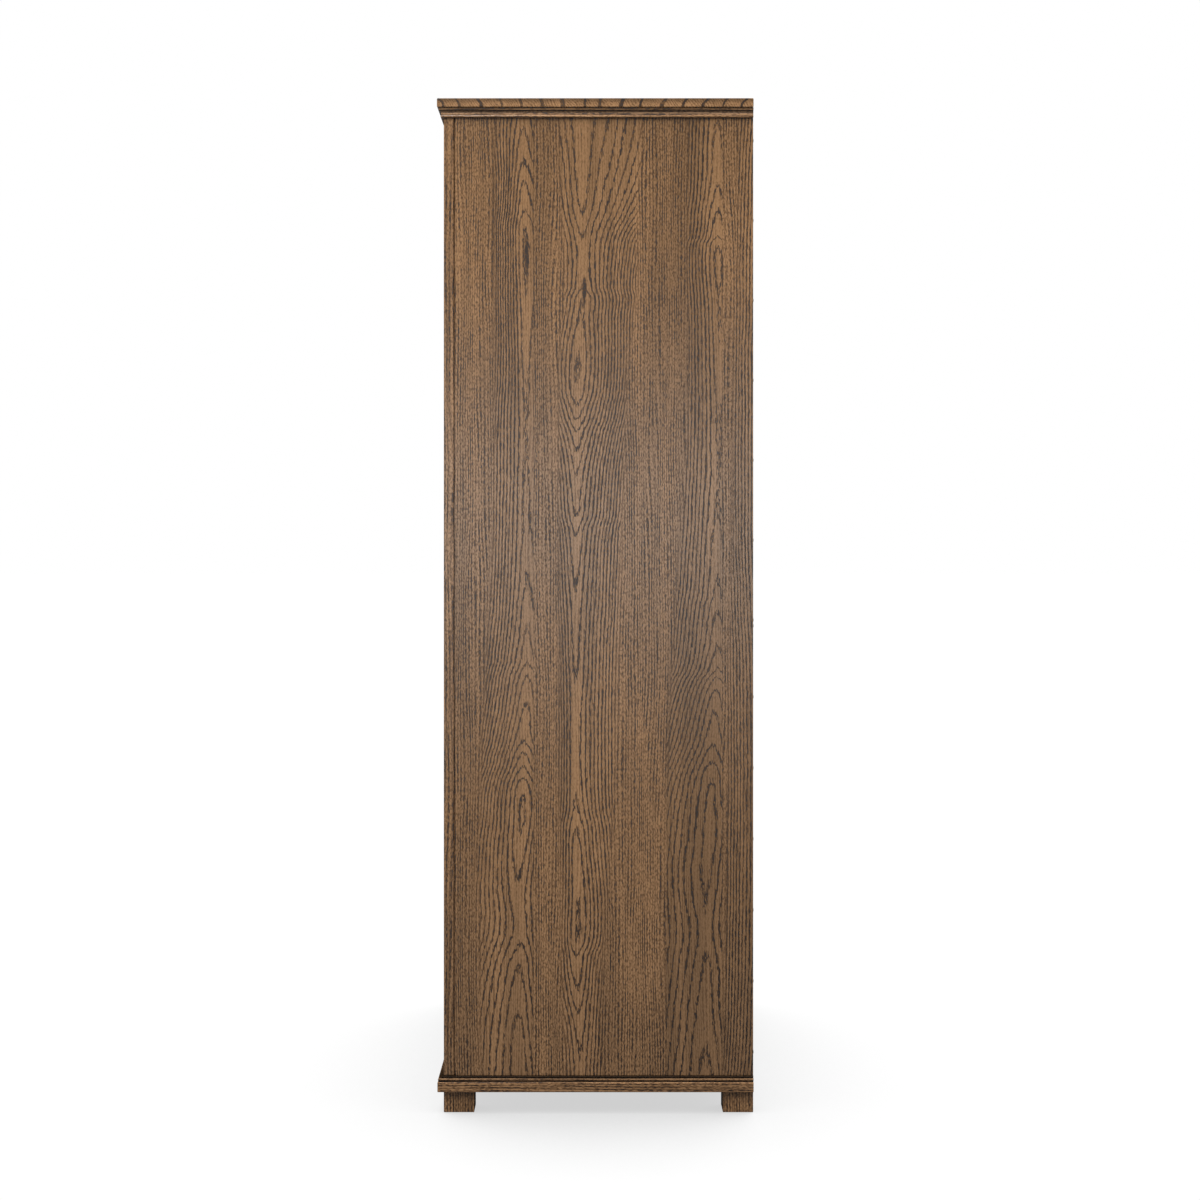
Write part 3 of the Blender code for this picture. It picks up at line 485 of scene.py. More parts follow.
def board_look(tree, board, board_width, start):
    """Flat-sawn boards glued edge to edge, each with its own heart line and its own arches."""
    count = add(tree, "MULTIPLY_ADD", [board["Across"], 1 / board_width, start])
    number = add(tree, "FLOOR", [count])
    chance = add(tree, "TexWhiteNoise", {"W": number}, noise_dimensions="1D")
    parts = add(tree, "SeparateColor", [chance.outputs["Color"]]).outputs
    least, most = HEART_PLACES
    middle = add(tree, "MULTIPLY_ADD", [parts[0], most - least, least])
    inside = add(tree, "FRACT", [count])
    offset = add(tree, "SUBTRACT", [inside, middle])
    offset = add(tree, "MULTIPLY", [offset, board_width])
    shift = add(tree, "MULTIPLY", [number, BOARD_APART])
    wander = add(tree, "MULTIPLY_ADD", [board["Along"], 1 / BOARD_WAVE, shift])
    depth = add(tree, "TexNoise", {"W": wander, "Scale": 1.0, "Detail": 1.0}, noise_dimensions="1D")
    depth = add(tree, "MULTIPLY_ADD", [depth, BOARD_RINGS, jag(tree, board)])
    least, most = BOARD_RATE
    rate = add(tree, "MULTIPLY_ADD", [parts[2], most - least, least])
    rings, line = arches(tree, offset, depth, rate)
    aside = add(tree, "ABSOLUTE", [offset])
    figure = add(tree, "MapRange", [aside, *BOARD_FIGURE], "SMOOTHSTEP")
    clear, dark = (0.5 - width / board_width for width in BOARD_JOINT)
    seam = add(tree, "MapRange", [off_middle(tree, count), clear, dark, 1.0, BOARD_JOINT_TONE], "SMOOTHSTEP")
    least, most = BOARD_TONE
    shade = add(tree, "MULTIPLY_ADD", [parts[1], most - least, least])
    rift = add(tree, "MULTIPLY_ADD", [figure, RIFT_IN_FIGURE - 1.0, 1.0])
    tone = add(tree, "MULTIPLY", [shade, seam])
    return {"Rings": rings, "Line": line, "Figure": figure, "Rift": rift, "Tone": tone}


def glued_boards(name, axes, board_width, start):
    """Boards glued edge to edge. The start shifts them, so that no two pieces' joints agree."""
    material, tree, shader = new_material(name)
    board = board_places(tree, axes)
    oak_shader(tree, shader, board | board_look(tree, board, board_width, start))
    return material


SLAB_BOARD = 131 * MM
# The slab's end grain: how far apart its arcs stand, how far they lean at the slab's rear edge, and
# where from front to back they stand upright. Its lower part is lighter, and its upper part darker.
END_ARC_SPACING = 40 * MM
END_ARC_LEAN = 13 * MM
END_UPRIGHT = -30 * MM
END_LIGHTER_BELOW = (0.10, 1.05, 1.16, 0.56)
END_WAVE = 71.4 * MM
END_WAVE_RINGS = 0.9
SLAB_END_FACE = (0.5, 0.8)
END_LOOK = {"Line": 0.16, "Figure": 1.0, "Rift": 0.5}


def slab_boards():
    """The slab's level boards. Its ends show the rings as arcs that lean away from the middle."""
    material, tree, shader = new_material("smoked oak slab top")
    board = board_places(tree, "yzx")
    look = board_look(tree, board, SLAB_BOARD, 1.64)
    low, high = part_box("top_slab")
    level = add(tree, "MapRange", [board["Through"], low.z, high.z], "SMOOTHSTEP")
    bow = add(tree, "MULTIPLY", [level, level])
    lean = add(tree, "MULTIPLY_ADD", [board["Across"], -1 / high.y, END_UPRIGHT / high.y])
    bow = add(tree, "MULTIPLY", [bow, lean])
    at = add(tree, "MULTIPLY_ADD", [bow, END_ARC_LEAN, board["Across"]])
    arcs = add(tree, "MULTIPLY", [at, 1 / END_ARC_SPACING])
    uneven = add(tree, "TexNoise", {"W": board["Across"], "Scale": 1 / END_WAVE}, noise_dimensions="1D")
    arcs = add(tree, "MULTIPLY_ADD", [uneven, END_WAVE_RINGS, arcs])
    is_end = add(tree, "MapRange", [board["End"], *SLAB_END_FACE], "SMOOTHSTEP")
    # The end grain is made lighter towards the bottom and darker towards the top.
    lighter_below = add(tree, "MapRange", [level, *END_LIGHTER_BELOW], "SMOOTHSTEP")
    ends = {"Rings": arcs, **END_LOOK, "Tone": lighter_below}
    for label, value in ends.items():
        look[label] = add(tree, "Mix", {0: is_end, 2: look[label], 3: value})
    oak_shader(tree, shader, board | look | {"End": 0.0})
    return material


# Painted light and shade over a moulding's height, in millimetres from its lower edge: a painted highlight
# on the bead and the arris, and painted shade in the cove and on the ledge.
CORNICE_PAINTED_SHADING = (
    (0.0, 1.50), (3.5, 1.55), (6.0, 1.75), (7.5, 1.50), (9.5, 0.92), (11.0, 0.60), (12.8, 0.52),
    (14.2, 0.75), (15.0, 0.95), (16.5, 0.68), (18.7, 0.60),
)
BASE_PAINTED_SHADING = (
    (0.0, 1.15), (15.0, 1.15), (17.5, 1.45), (19.6, 1.75), (21.0, 1.30), (23.0, 1.10), (25.0, 0.95),
    (27.0, 0.55), (28.5, 0.25), (31.2, 0.12),
)
# Painted shade in a moulding's corners: how far it looks, the openness where it peaks and ends, its darkest
# tone.
CORNER_REACH = 7 * MM
CORNER_OPEN = (0.50, 0.98)
CORNER_PAINTED_SHADE = 0.30
# How far apart straight grain's lines are on the face, and how far on the edge.
STRAIGHT_ACROSS = 5.2 * MM
STRAIGHT_THROUGH = 11 * MM
STRAIGHT_WANDER = 5.0
STRAIGHT_LINE = 0.40
STRAIGHT_FIGURE = (0.35, 0.65, 0.09, 0.45)


def straight_grain(name, axes, tone=1.0, painted_shading=None, bottom=0.0, gloss=0.5):
    """A solid length of quarter-sawn oak: near-parallel lines that run its whole length.

    A moulded length gets painted light and shade by height from the bottom, and painted shade in its corners.
    """
    material, tree, shader = new_material(name)
    board = board_places(tree, axes)
    place = add(tree, "CombineXYZ", [board["Across"], board["Through"], board["Along"]])
    drift = stretched_noise(tree, place, DRIFT)
    rings = add(tree, "MULTIPLY", [board["Across"], 1 / STRAIGHT_ACROSS])
    rings = add(tree, "MULTIPLY_ADD", [board["Through"], 1 / STRAIGHT_THROUGH, rings])
    rings = add(tree, "MULTIPLY_ADD", [drift, STRAIGHT_WANDER, rings])
    figure = add(tree, "MapRange", [drift, *STRAIGHT_FIGURE], "SMOOTHSTEP")
    if painted_shading:
        # Painted shade, darkest where the corners are closed in.
        corners = add(tree, "AmbientOcclusion", {"Distance": CORNER_REACH}, samples=8, only_local=True)
        corner_shade_bounds = [corners.outputs["AO"], *CORNER_OPEN, CORNER_PAINTED_SHADE * tone, tone]
        tone = add(tree, "MapRange", corner_shade_bounds, "SMOOTHSTEP")
        # Painted highlights and shade by the height on the moulding.
        rise = add(tree, "SUBTRACT", [board["Across"], bottom])
        tone = add(tree, "MULTIPLY", [tone, height_curve(tree, rise, painted_shading)])
    look = {"Rings": rings, "Line": STRAIGHT_LINE, "Figure": figure, "Rift": 1.0, "Tone": tone, "Edge": 0.0}
    oak_shader(tree, shader, board | look)
    shader.inputs["Specular IOR Level"].default_value = gloss
    return material


# How far a foot's face looks inward, and its tone there and elsewhere: painted shade on the inward faces.
FOOT_PAINTED_SHADE = (-0.20, -0.08, 0.22, 0.96)
LOW_GLOSS = 0.4


def foot_oak():
    """The feet's quarter-sawn oak, with painted shade on the faces that look at each other."""
    material = straight_grain("smoked oak feet", "yxz", gloss=LOW_GLOSS)
    tree = material.node_tree
    surface = next(node for node in tree.nodes if node.type == "GROUP")
    where = add(tree, "TexCoord").outputs
    level = add(tree, "VectorMath", [where["Object"], (1.0, 1.0, 0.0)], "MULTIPLY")
    outward = add(tree, "VectorMath", [level, where["Normal"]], "DOT_PRODUCT")
    tone = add(tree, "MapRange", [outward.outputs["Value"], *FOOT_PAINTED_SHADE], "SMOOTHSTEP")
    fill(tree, surface, {"Tone": tone})
    return material


METAL_RELIEF = {"Distance": 0.05 * MM, "Strength": 0.3}
METAL_PATCHES = (0.35, 0.65)
METAL_FINENESS = 8
PLASTIC_RELIEF = {"Distance": 0.04 * MM, "Strength": 0.5}
PLASTIC_SPECKS = (0.3, 0.7, 0.88, 1.12)
SPECK_ROUGHNESS = 0.2


def metal(name, dull, bright, patch, roughness):
    """A metal whose colour goes from dull to bright in patches of one size. Its bright parts are smoother."""
    material, tree, shader = new_material(name)
    place = add(tree, "TexCoord").outputs["Object"]
    mottle = add(tree, "TexNoise", {"Vector": place, "Scale": 1 / patch, "Detail": 4.0, "Roughness": 0.6})
    share = add(tree, "MapRange", [mottle, *METAL_PATCHES], "SMOOTHSTEP")
    ramp = add(tree, "ValToRGB", [share])
    ramp.color_ramp.elements[0].color = linear(dull)
    ramp.color_ramp.elements[1].color = linear(bright)
    low, high = roughness
    rough = add(tree, "MULTIPLY_ADD", [share, low - high, high])
    fine = add(tree, "TexNoise", {"Vector": place, "Scale": METAL_FINENESS / patch, "Detail": 2.0})
    bump = add(tree, "Bump", {"Height": fine} | METAL_RELIEF)
    fill(tree, shader, {"Base Color": ramp, "Roughness": rough, "Normal": bump, "Metallic": 1.0})
    return material


def moulded_plastic(name, colour, grain, roughness):
    """Injection-moulded ABS: the mould's fine spark-eroded texture breaks up its gloss."""
    material, tree, shader = new_material(name)
    place = add(tree, "TexCoord").outputs["Object"]
    speck = add(tree, "TexNoise", {"Vector": place, "Scale": 1 / grain, "Detail": 3.0})
    tone = add(tree, "MapRange", [speck, *PLASTIC_SPECKS], "SMOOTHSTEP")
    paint = add(tree, "VectorMath", {0: linear(colour)[:3], "Scale": tone}, "SCALE")
    rough = add(tree, "MULTIPLY_ADD", [speck, SPECK_ROUGHNESS, roughness])
    bump = add(tree, "Bump", {"Height": speck} | PLASTIC_RELIEF)
    fill(tree, shader, {"Base Color": paint, "Roughness": rough, "Normal": bump})
    return material


# Aged brass: cast and turned, unlacquered, browned by the air and rubbed brighter in places.
BRASS = metal("aged brass", "#6A5233", "#A5834E", 9 * MM, (0.30, 0.46))
# Zinc-plated steel: pressed strip under a thin bright coat that clouds a little.
STEEL = metal("zinc-plated steel", "#8E8E8B", "#BDBDB8", 4 * MM, (0.28, 0.42))
# Brown ABS: the catches' bodies, dark and evenly matt against the oak.
CATCH_SHELL = moulded_plastic("moulded brown ABS", "#3C3129", 0.7 * MM, 0.40)


CORNICE_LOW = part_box("cornice_right")[0].z
BASE_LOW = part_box("base_right")[0].z
# The front mouldings stay dull, so their ends are dark slivers in the shade, as photographed.
FRONT_GLOSS = 0.06
STILE_OAK = straight_grain("smoked oak stiles", "xyz", 0.97)
RAIL_OAK = straight_grain("smoked oak rails", "zyx")
# How the nodes' names begin, and the finish of what they are made of.
FINISHES = (
    (("side_",), side_veneer()),
    (("door_left_panel", "door_right_panel"), glued_boards("smoked oak panels", "xyz", 148 * MM, 3.37)),
    (("back_",), glued_boards("smoked oak inside, upright", "xyz", 175 * MM, 8.61)),
    (("shelf_", "top_panel", "bottom_panel"),
     glued_boards("smoked oak inside, level", "yzx", 157 * MM, 5.22)),
    (("top_slab",), slab_boards()),
    (("frame_stile", "door_left_stile", "door_right_stile"), STILE_OAK),
    (("frame_rail", "door_left_rail", "door_right_rail", "base_rear"), RAIL_OAK),
    # The front cornice's tone of 0.42 and the front base's 0.85 are painted shade that keeps the front dark.
    (("cornice_front",),
     straight_grain("smoked oak front cornice", "zyx", 0.42, CORNICE_PAINTED_SHADING, CORNICE_LOW, FRONT_GLOSS)),
    (("cornice_left", "cornice_right"),
     straight_grain("smoked oak side cornice", "zxy", 0.91, CORNICE_PAINTED_SHADING, CORNICE_LOW)),
    (("base_front",), straight_grain("smoked oak front base", "zyx", 0.85, BASE_PAINTED_SHADING, BASE_LOW, FRONT_GLOSS)),
    (("base_left", "base_right"),
     straight_grain("smoked oak side base", "zxy", 1.0, BASE_PAINTED_SHADING, BASE_LOW, LOW_GLOSS)),
    (("cleat_",), straight_grain("smoked oak cleats", "zxy")),
    (("foot_",), foot_oak()),
    (("hinge_", "knob_"), BRASS),
    (("catch_",), CATCH_SHELL),
)


def finish_nodes():
    """Gives each of the frame's nodes its finish."""
    for name, node in NODES.items():
        for beginnings, material in FINISHES:
            if name.startswith(beginnings):
                node.material_slots[0].material = material


def smoothing(sharp_angle):
    """A modifier's node group that shades curved faces smoothly and keeps the corners sharp."""
    mesh = {"Mesh": "Geometry"}
    group, given = new_group("smooth curves, sharp corners", "GeometryNodeTree", mesh, mesh)
    shaped = {"Geometry": given["Mesh"], "Shade Smooth": True}
    smooth = add(group, "GeometryNodeSetShadeSmooth", shaped, domain="FACE")
    angle = add(group, "GeometryNodeInputMeshEdgeAngle").outputs["Unsigned Angle"]
    corner = add(group, "FunctionNodeCompare", [angle, sharp_angle], "GREATER_THAN")
    shaped = {"Geometry": smooth, "Selection": corner, "Shade Smooth": False}
    add(group, "NodeGroupOutput", {"Mesh": add(group, "GeometryNodeSetShadeSmooth", shaped, domain="EDGE")})
    return group


SHARP_ANGLE = 35


def smooth_nodes():
    """Smooths the curved faces of the mouldings, hinges and knobs."""
    group = smoothing(math.radians(SHARP_ANGLE))
    for name, node in NODES.items():
        if name.startswith(("cornice_", "base_", "hinge_", "knob_")):
            node.modifiers.new("smooth", "NODES").node_group = group


finish_nodes()
smooth_nodes()


def new_piece(name, shape, body, materials, sharp_angle=SHARP_ANGLE):
    """Turns a bmesh into a piece that rides on a body."""
    bmesh.ops.recalc_face_normals(shape, faces=shape.faces)
    mesh = bpy.data.meshes.new(name)
    shape.to_mesh(mesh)
    shape.free()
    for material in materials:
        mesh.materials.append(material)
    mesh.shade_smooth()
    mesh.set_sharp_from_angle(angle=math.radians(sharp_angle))
    item = new_item(name, mesh)
    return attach(item, body)


def add_turned(shape, outline, place, steps):
    """Adds a turned form: radii and heights, swept round the Z axis of the place's matrix."""
    rings = []
    for radius, height in outline:
        if radius == 0.0:
            rings.append([shape.verts.new(place @ Vector((0.0, 0.0, height)))] * steps)
            continue
        ring = []
        for step in range(steps):
            angle = 2 * math.pi * step / steps
            at = Vector((radius * math.cos(angle), radius * math.sin(angle), height))
            ring.append(shape.verts.new(place @ at))
        rings.append(ring)
    for below, above in zip(rings, rings[1:]):
        for step in range(steps):
            after = (step + 1) % steps
            corners = [below[step], below[after], above[after], above[step]]
            shape.faces.new(list(dict.fromkeys(corners)))


def add_prism(shape, outline, low, high, place):
    """Adds a prism: an outline in the place's X and Y, from low to high along its Z."""
    ends = []
    for level in (low, high):
        ends.append([shape.verts.new(place @ Vector((x, y, level))) for x, y in outline])
        shape.faces.new(ends[-1])
    for index in range(len(outline)):
        after = (index + 1) % len(outline)
        shape.faces.new((ends[0][index], ends[0][after], ends[1][after], ends[1][index]))


def facing(place, outward, turn=0.0):
    """A matrix at a place whose Z axis points outward, turned round that axis."""
    rotation = Vector(outward).to_track_quat("Z", "Y").to_matrix().to_4x4()
    return Matrix.Translation(place) @ rotation @ Matrix.Rotation(turn, 4, "Z")


def angles(start, end, steps):
    """Even steps from one angle to another, given in degrees."""
    return [math.radians(start + (end - start) * step / steps) for step in range(steps + 1)]


def turns(count, first):
    """How far each screw of a row ended up turned: any angle, but the same on each run."""
    return [math.radians((first * 47 + index * 113) % 180) for index in range(count)]


SCREW_PROUD = 0.32 * MM
SLOT_FLOOR = 0.05 * MM
SLOT_HALF = 0.45 * MM
HEAD_STEPS = 12


def add_screw_head(shape, place, radius, proud=SCREW_PROUD):
    """A slotted countersunk head: two half discs with the slot between them."""
    floor = [(radius * math.cos(a), radius * math.sin(a)) for a in angles(0, 360, 2 * HEAD_STEPS)[:-1]]
    add_prism(shape, floor, -SLOT_FLOOR, SLOT_FLOOR, place)
    start = math.degrees(math.asin(SLOT_HALF / radius))
    for half in (1, -1):
        arc = angles(start, 180 - start, HEAD_STEPS)
        outline = [(radius * math.cos(a), half * radius * math.sin(a)) for a in arc]
        add_prism(shape, outline, SLOT_FLOOR, proud, place)


HINGE_SCREW_RADIUS = 3.0 * MM
HINGE_SCREW_LEVELS = (-27 * MM, 0.0, 27 * MM)
HINGE_SCREW_INSET = (10.6 * MM, 13.2 * MM, 10.6 * MM)
LEAF_FACE = 0.45 * MM
BARREL_RADIUS = 3.5 * MM


def make_hinge_screws():
    """Three screws in each leaf's bare face, which shows when the door is open."""
    for number, name in enumerate(sorted(NODES)):
        if not name.startswith("hinge_"):
            continue
        low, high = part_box(name)
        side = name.split("_")[1]
        outward = 1 if side == "right" else -1
        on_door = "_door_" in name
        toward = outward if on_door else -outward
        axis_x = high.x - BARREL_RADIUS if toward > 0 else low.x + BARREL_RADIUS
        face = axis_x - toward * LEAF_FACE
        shape = bmesh.new()
        level = (low.z + high.z) / 2
        for rise, inset, turn in zip(HINGE_SCREW_LEVELS, HINGE_SCREW_INSET, turns(3, number)):
            place = (face, low.y + BARREL_RADIUS + inset, level + rise)
            add_screw_head(shape, facing(place, (toward, 0.0, 0.0), turn), HINGE_SCREW_RADIUS)
        body = "door_" + side if on_door else "cabinet"
        new_piece(name + "_screws", shape, body, [BRASS])


# The knob's radii and heights in millimetres, from the door's face: the rose with its bead, the
# hollow neck with a collar, and the mushroom head with a scored ring.
KNOB_OUTLINE = (
    (0.0, 0.3), (11.5, 0.3), (11.5, 1.4), (11.2, 1.9), (10.6, 2.1), (10.0, 2.0), (9.6, 2.3), (9.2, 2.9),
    (8.2, 3.4), (7.0, 4.2), (6.0, 5.4), (5.3, 7.2), (5.0, 9.5), (5.2, 11.8), (5.8, 13.6), (6.5, 14.5),
    (7.4, 14.8), (7.8, 15.4), (7.4, 16.0), (9.5, 16.7), (12.2, 17.8), (14.5, 19.3), (15.9, 21.0),
    (16.5, 22.6), (16.2, 24.3), (15.2, 26.0), (13.7, 27.35), (13.0, 27.8), (12.7, 27.65), (12.4, 28.05),
    (9.5, 29.2), (6.5, 29.75), (3.2, 29.95), (0.0, 30.0),
)
KNOB_STEPS = 64
KNOB_SHARP_ANGLE = 50


def make_knobs():
    """Turned knobs, each on the face of its door's meeting stile."""
    outline = [(radius * MM, height * MM) for radius, height in KNOB_OUTLINE]
    for side in ("left", "right"):
        low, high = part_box("knob_" + side)
        centre = (low + high) / 2
        place = (centre.x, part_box(f"door_{side}_stile_meeting")[0].y, centre.z)
        shape = bmesh.new()
        add_turned(shape, outline, facing(place, (0.0, -1.0, 0.0)), KNOB_STEPS)
        knob = new_piece("turned_knob_" + side, shape, "door_" + side, [BRASS], KNOB_SHARP_ANGLE)
        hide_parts("knob_" + side)


# The panel moulding's section in millimetres: how far it lies over the panel, and how far it rises
# from the panel's face towards the front of the door.
PANEL_MOULDING = (
    (0.0, 0.0), (0.0, 6.5), (1.3, 6.5), (1.3, 5.6), (2.9, 5.4), (4.3, 4.8), (5.5, 3.8), (6.3, 2.6),
    (6.6, 1.5), (7.6, 1.5), (7.6, 0.0),
)
PANEL_DEPTH = 7.3 * MM


def make_panel_mouldings():
    """A mitred ovolo round each door panel, in the corner between the panel and its frame."""
    for side in ("left", "right"):
        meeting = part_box(f"door_{side}_stile_meeting")
        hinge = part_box(f"door_{side}_stile_hinge")
        first, last = (hinge, meeting) if side == "left" else (meeting, hinge)
        span_x = (first[1].x, last[0].x)
        back = meeting[0].y + PANEL_DEPTH
        for level, below, above in (("lower", "bottom", "middle"), ("upper", "middle", "top")):
            span_z = (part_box(f"door_{side}_rail_{below}")[1].z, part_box(f"door_{side}_rail_{above}")[0].z)
            shape = bmesh.new()
            loops = []
            for over, rise in PANEL_MOULDING:
                low_x, high_x = span_x[0] + over * MM, span_x[1] - over * MM
                low_z, high_z = span_z[0] + over * MM, span_z[1] - over * MM
                y = back - rise * MM
                corners = ((low_x, low_z), (high_x, low_z), (high_x, high_z), (low_x, high_z))
                loops.append([shape.verts.new((x, y, z)) for x, z in corners])
            for loop, other in zip(loops, loops[1:] + loops[:1]):
                for index in range(4):
                    after = (index + 1) % 4
                    face = shape.faces.new((loop[index], loop[after], other[after], other[index]))
                    face.material_index = index % 2
            name = f"door_{side}_moulding_{level}"
            trim = new_piece(name, shape, "door_" + side, [RAIL_OAK, STILE_OAK])


def round_ended(half_length, half_width, steps=8):
    """An outline with round ends, for ears, strike plates and slots."""
    middle = half_length - half_width
    right = [(middle + half_width * math.cos(a), half_width * math.sin(a)) for a in angles(-90, 90, steps)]
    return right + [(-x, -y) for x, y in right]


CATCH_BODY_HALF = 14 * MM
CATCH_EASE = 0.8 * MM
CATCH_RECESS = 1.2 * MM
CATCH_RIM = 1.6 * MM
EAR_THICKNESS = 2.6 * MM
EAR_HALF_WIDTH = 5.2 * MM
POLE_PROUD = 0.08 * MM
POLE_SPREAD = 2.6 * MM
POLE_THICKNESS = 1.4 * MM
POLE_DEPTH = 5 * MM
POLE_SHORTER = 2.4 * MM
STRIKE_HALF_LENGTH = 17 * MM
STRIKE_HALF_WIDTH = 6 * MM
STRIKE_PROUD = 0.10 * MM
STRIKE_SUNK = 0.5 * MM
STRIKE_SCREW_PROUD = 0.10 * MM
FITTING_SCREW = 2.6 * MM
EAR_SCREW_PROUD = 1.1 * MM
# A hair's gap keeps the ears' upper face off the panel that they are screwed to.
HAIR = 0.01 * MM


def make_catches():
    """Magnetic catches: a moulded body with two ears, and steel poles that the strike plate meets."""
    for number, side in enumerate(("left", "right")):
        low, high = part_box("catch_" + side)
        middle = (low + high) / 2
        shape = bmesh.new()
        half = CATCH_BODY_HALF
        outline = ((-half, low.z), (half, low.z), (half, high.z), (-half, high.z))
        upright = Matrix(((1, 0, 0, middle.x), (0, 0, -1, 0), (0, 1, 0, 0), (0, 0, 0, 1)))
        add_prism(shape, outline, -high.y, -low.y, upright)
        bmesh.ops.recalc_face_normals(shape, faces=shape.faces)
        mouth = [face for face in shape.faces if face.normal.y < -0.9]
        bmesh.ops.inset_region(shape, faces=mouth, thickness=CATCH_RIM, depth=0.0)
        for vert in {vert for face in mouth for vert in face.verts}:
            vert.co.y += CATCH_RECESS
        long_edges = [edge for edge in shape.edges if edge.calc_length() > CATCH_RIM * 1.6]
        ease = {"offset": CATCH_EASE / 2, "segments": 2, "profile": 0.5, "affect": "EDGES"}
        bmesh.ops.bevel(shape, geom=long_edges, **ease)
        ear = round_ended((high.x - low.x) / 2, EAR_HALF_WIDTH)
        flat = Matrix.Translation((middle.x, middle.y, 0.0))
        add_prism(shape, ear, high.z - EAR_THICKNESS, high.z - HAIR, flat)
        body = new_piece("catch_body_" + side, shape, "cabinet", [CATCH_SHELL])
        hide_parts("catch_" + side)

        shape = bmesh.new()
        for sign in (-1, 1):
            pole = round_ended(half - POLE_SHORTER, POLE_THICKNESS / 2, 4)
            pole = [(x, middle.z + sign * POLE_SPREAD + z) for x, z in pole]
            add_prism(shape, pole, -low.y - POLE_DEPTH, -low.y + POLE_PROUD, upright)
        new_piece("catch_poles_" + side, shape, "cabinet", [STEEL])

        shape = bmesh.new()
        reach = (high.x - low.x) / 2 - EAR_HALF_WIDTH
        for sign, turn in zip((-1, 1), turns(2, 7 + number)):
            place = (middle.x + sign * reach, middle.y, high.z - EAR_THICKNESS)
            add_screw_head(shape, facing(place, (0.0, 0.0, -1.0), turn), FITTING_SCREW, EAR_SCREW_PROUD)
        new_piece("catch_screws_" + side, shape, "cabinet", [STEEL])

        shape = bmesh.new()
        door_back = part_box(f"door_{side}_rail_top")[1].y
        plate = [(x, middle.z + z) for x, z in round_ended(STRIKE_HALF_LENGTH, STRIKE_HALF_WIDTH)]
        add_prism(shape, plate, -door_back - STRIKE_PROUD, -door_back + STRIKE_SUNK, upright)
        place = (middle.x, door_back + STRIKE_PROUD, middle.z)
        head = facing(place, (0.0, 1.0, 0.0), turns(1, 3 + number)[0])
        add_screw_head(shape, head, FITTING_SCREW, STRIKE_SCREW_PROUD)
        new_piece("strike_plate_" + side, shape, "door_" + side, [STEEL])


CLEAT_SCREW_RADIUS = 4.0 * MM
CLEAT_SCREW_INSET = 60 * MM


def make_cleat_screws():
    """Three screws through each cleat into the side."""
    for number, name in enumerate(sorted(NODES)):
        if not name.startswith("cleat_"):
            continue
        low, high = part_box(name)
        inward, face = (1, high.x) if name.endswith("left") else (-1, low.x)
        shape = bmesh.new()
        spots = (low.y + CLEAT_SCREW_INSET, (low.y + high.y) / 2, high.y - CLEAT_SCREW_INSET)
        for spot, turn in zip(spots, turns(3, 20 + number)):
            place = facing((face, spot, (low.z + high.z) / 2), (inward, 0.0, 0.0), turn)
            add_screw_head(shape, place, CLEAT_SCREW_RADIUS)
        new_piece(name + "_screws", shape, "cabinet", [BRASS])


# A pan head's radii and heights in millimetres, from the wood's face, down into its square socket.
PAN_HEAD = ((4.2, -0.2), (4.2, 0.5), (3.9, 1.1), (3.2, 1.6), (2.2, 1.85), (1.3, 1.9), (1.2, 0.7), (0.0, 0.7))
PAN_STEPS = 20
BACK_SCREW_SPACING = 150 * MM
BACK_SCREW_INSET = 5.5 * MM


def make_back_screws():
    """Pan-head screws that hold the back panels in the sides' rebates and to the level boards."""
    outline = [(radius * MM, height * MM) for radius, height in PAN_HEAD]
    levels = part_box("bottom_panel"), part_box("top_panel")
    deck, ceiling = ((box[0].z + box[1].z) / 2 for box in levels)
    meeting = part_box("back_lower")[1].z - BACK_SCREW_INSET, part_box("back_upper")[0].z + BACK_SCREW_INSET
    for panel, foot, head in (("back_lower", deck, meeting[0]), ("back_upper", meeting[1], ceiling)):
        low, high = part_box(panel)
        left, right = low.x + BACK_SCREW_INSET, high.x - BACK_SCREW_INSET
        rows = round((head - foot) / BACK_SCREW_SPACING)
        columns = round((right - left) / BACK_SCREW_SPACING)
        spots = []
        for step in range(rows + 1):
            z = foot + (head - foot) * step / rows
            spots += [(left, z), (right, z)]
        for step in range(1, columns):
            x = left + (right - left) * step / columns
            spots += [(x, foot), (x, head)]
        shape = bmesh.new()
        for x, z in spots:
            add_turned(shape, outline, facing((x, high.y, z), (0.0, 1.0, 0.0)), PAN_STEPS)
        new_piece(panel + "_screws", shape, "cabinet", [STEEL])


make_hinge_screws()
make_knobs()
make_panel_mouldings()
make_catches()
make_cleat_screws()
make_back_screws()

# Stage: a white floor that keeps the soft shadow, white all round, and large soft lamps.
FLOOR_SIZE = 60.0
FLOOR_DROP = 0.1 * MM
FLOOR_ROUGHNESS = 0.9
SHADOW_REACH = 0.7
SHADOW_LEAN = (-0.55, 0.0, 0.835)
SHADOW = (0.0, 0.92, 0.60, 1.02)
FAR_FLOOR = (5.0, 20.0)
FAR_SHINE = 1.5
# The light of the world by the height of its direction: what falls on the object, the softbox that
# the finish mirrors at the horizon on the right, and the one that it mirrors overhead.
SKY = (0.0, 1.0, 0.12, 1.05)
SOFTBOX = (0.02, 0.08, 4.3, 0.05)
SOFTBOX_RIGHT = (0.60, 0.85, 0.08, 1.0)
OVERHEAD = (0.45, 0.80, 0.0, 0.85)


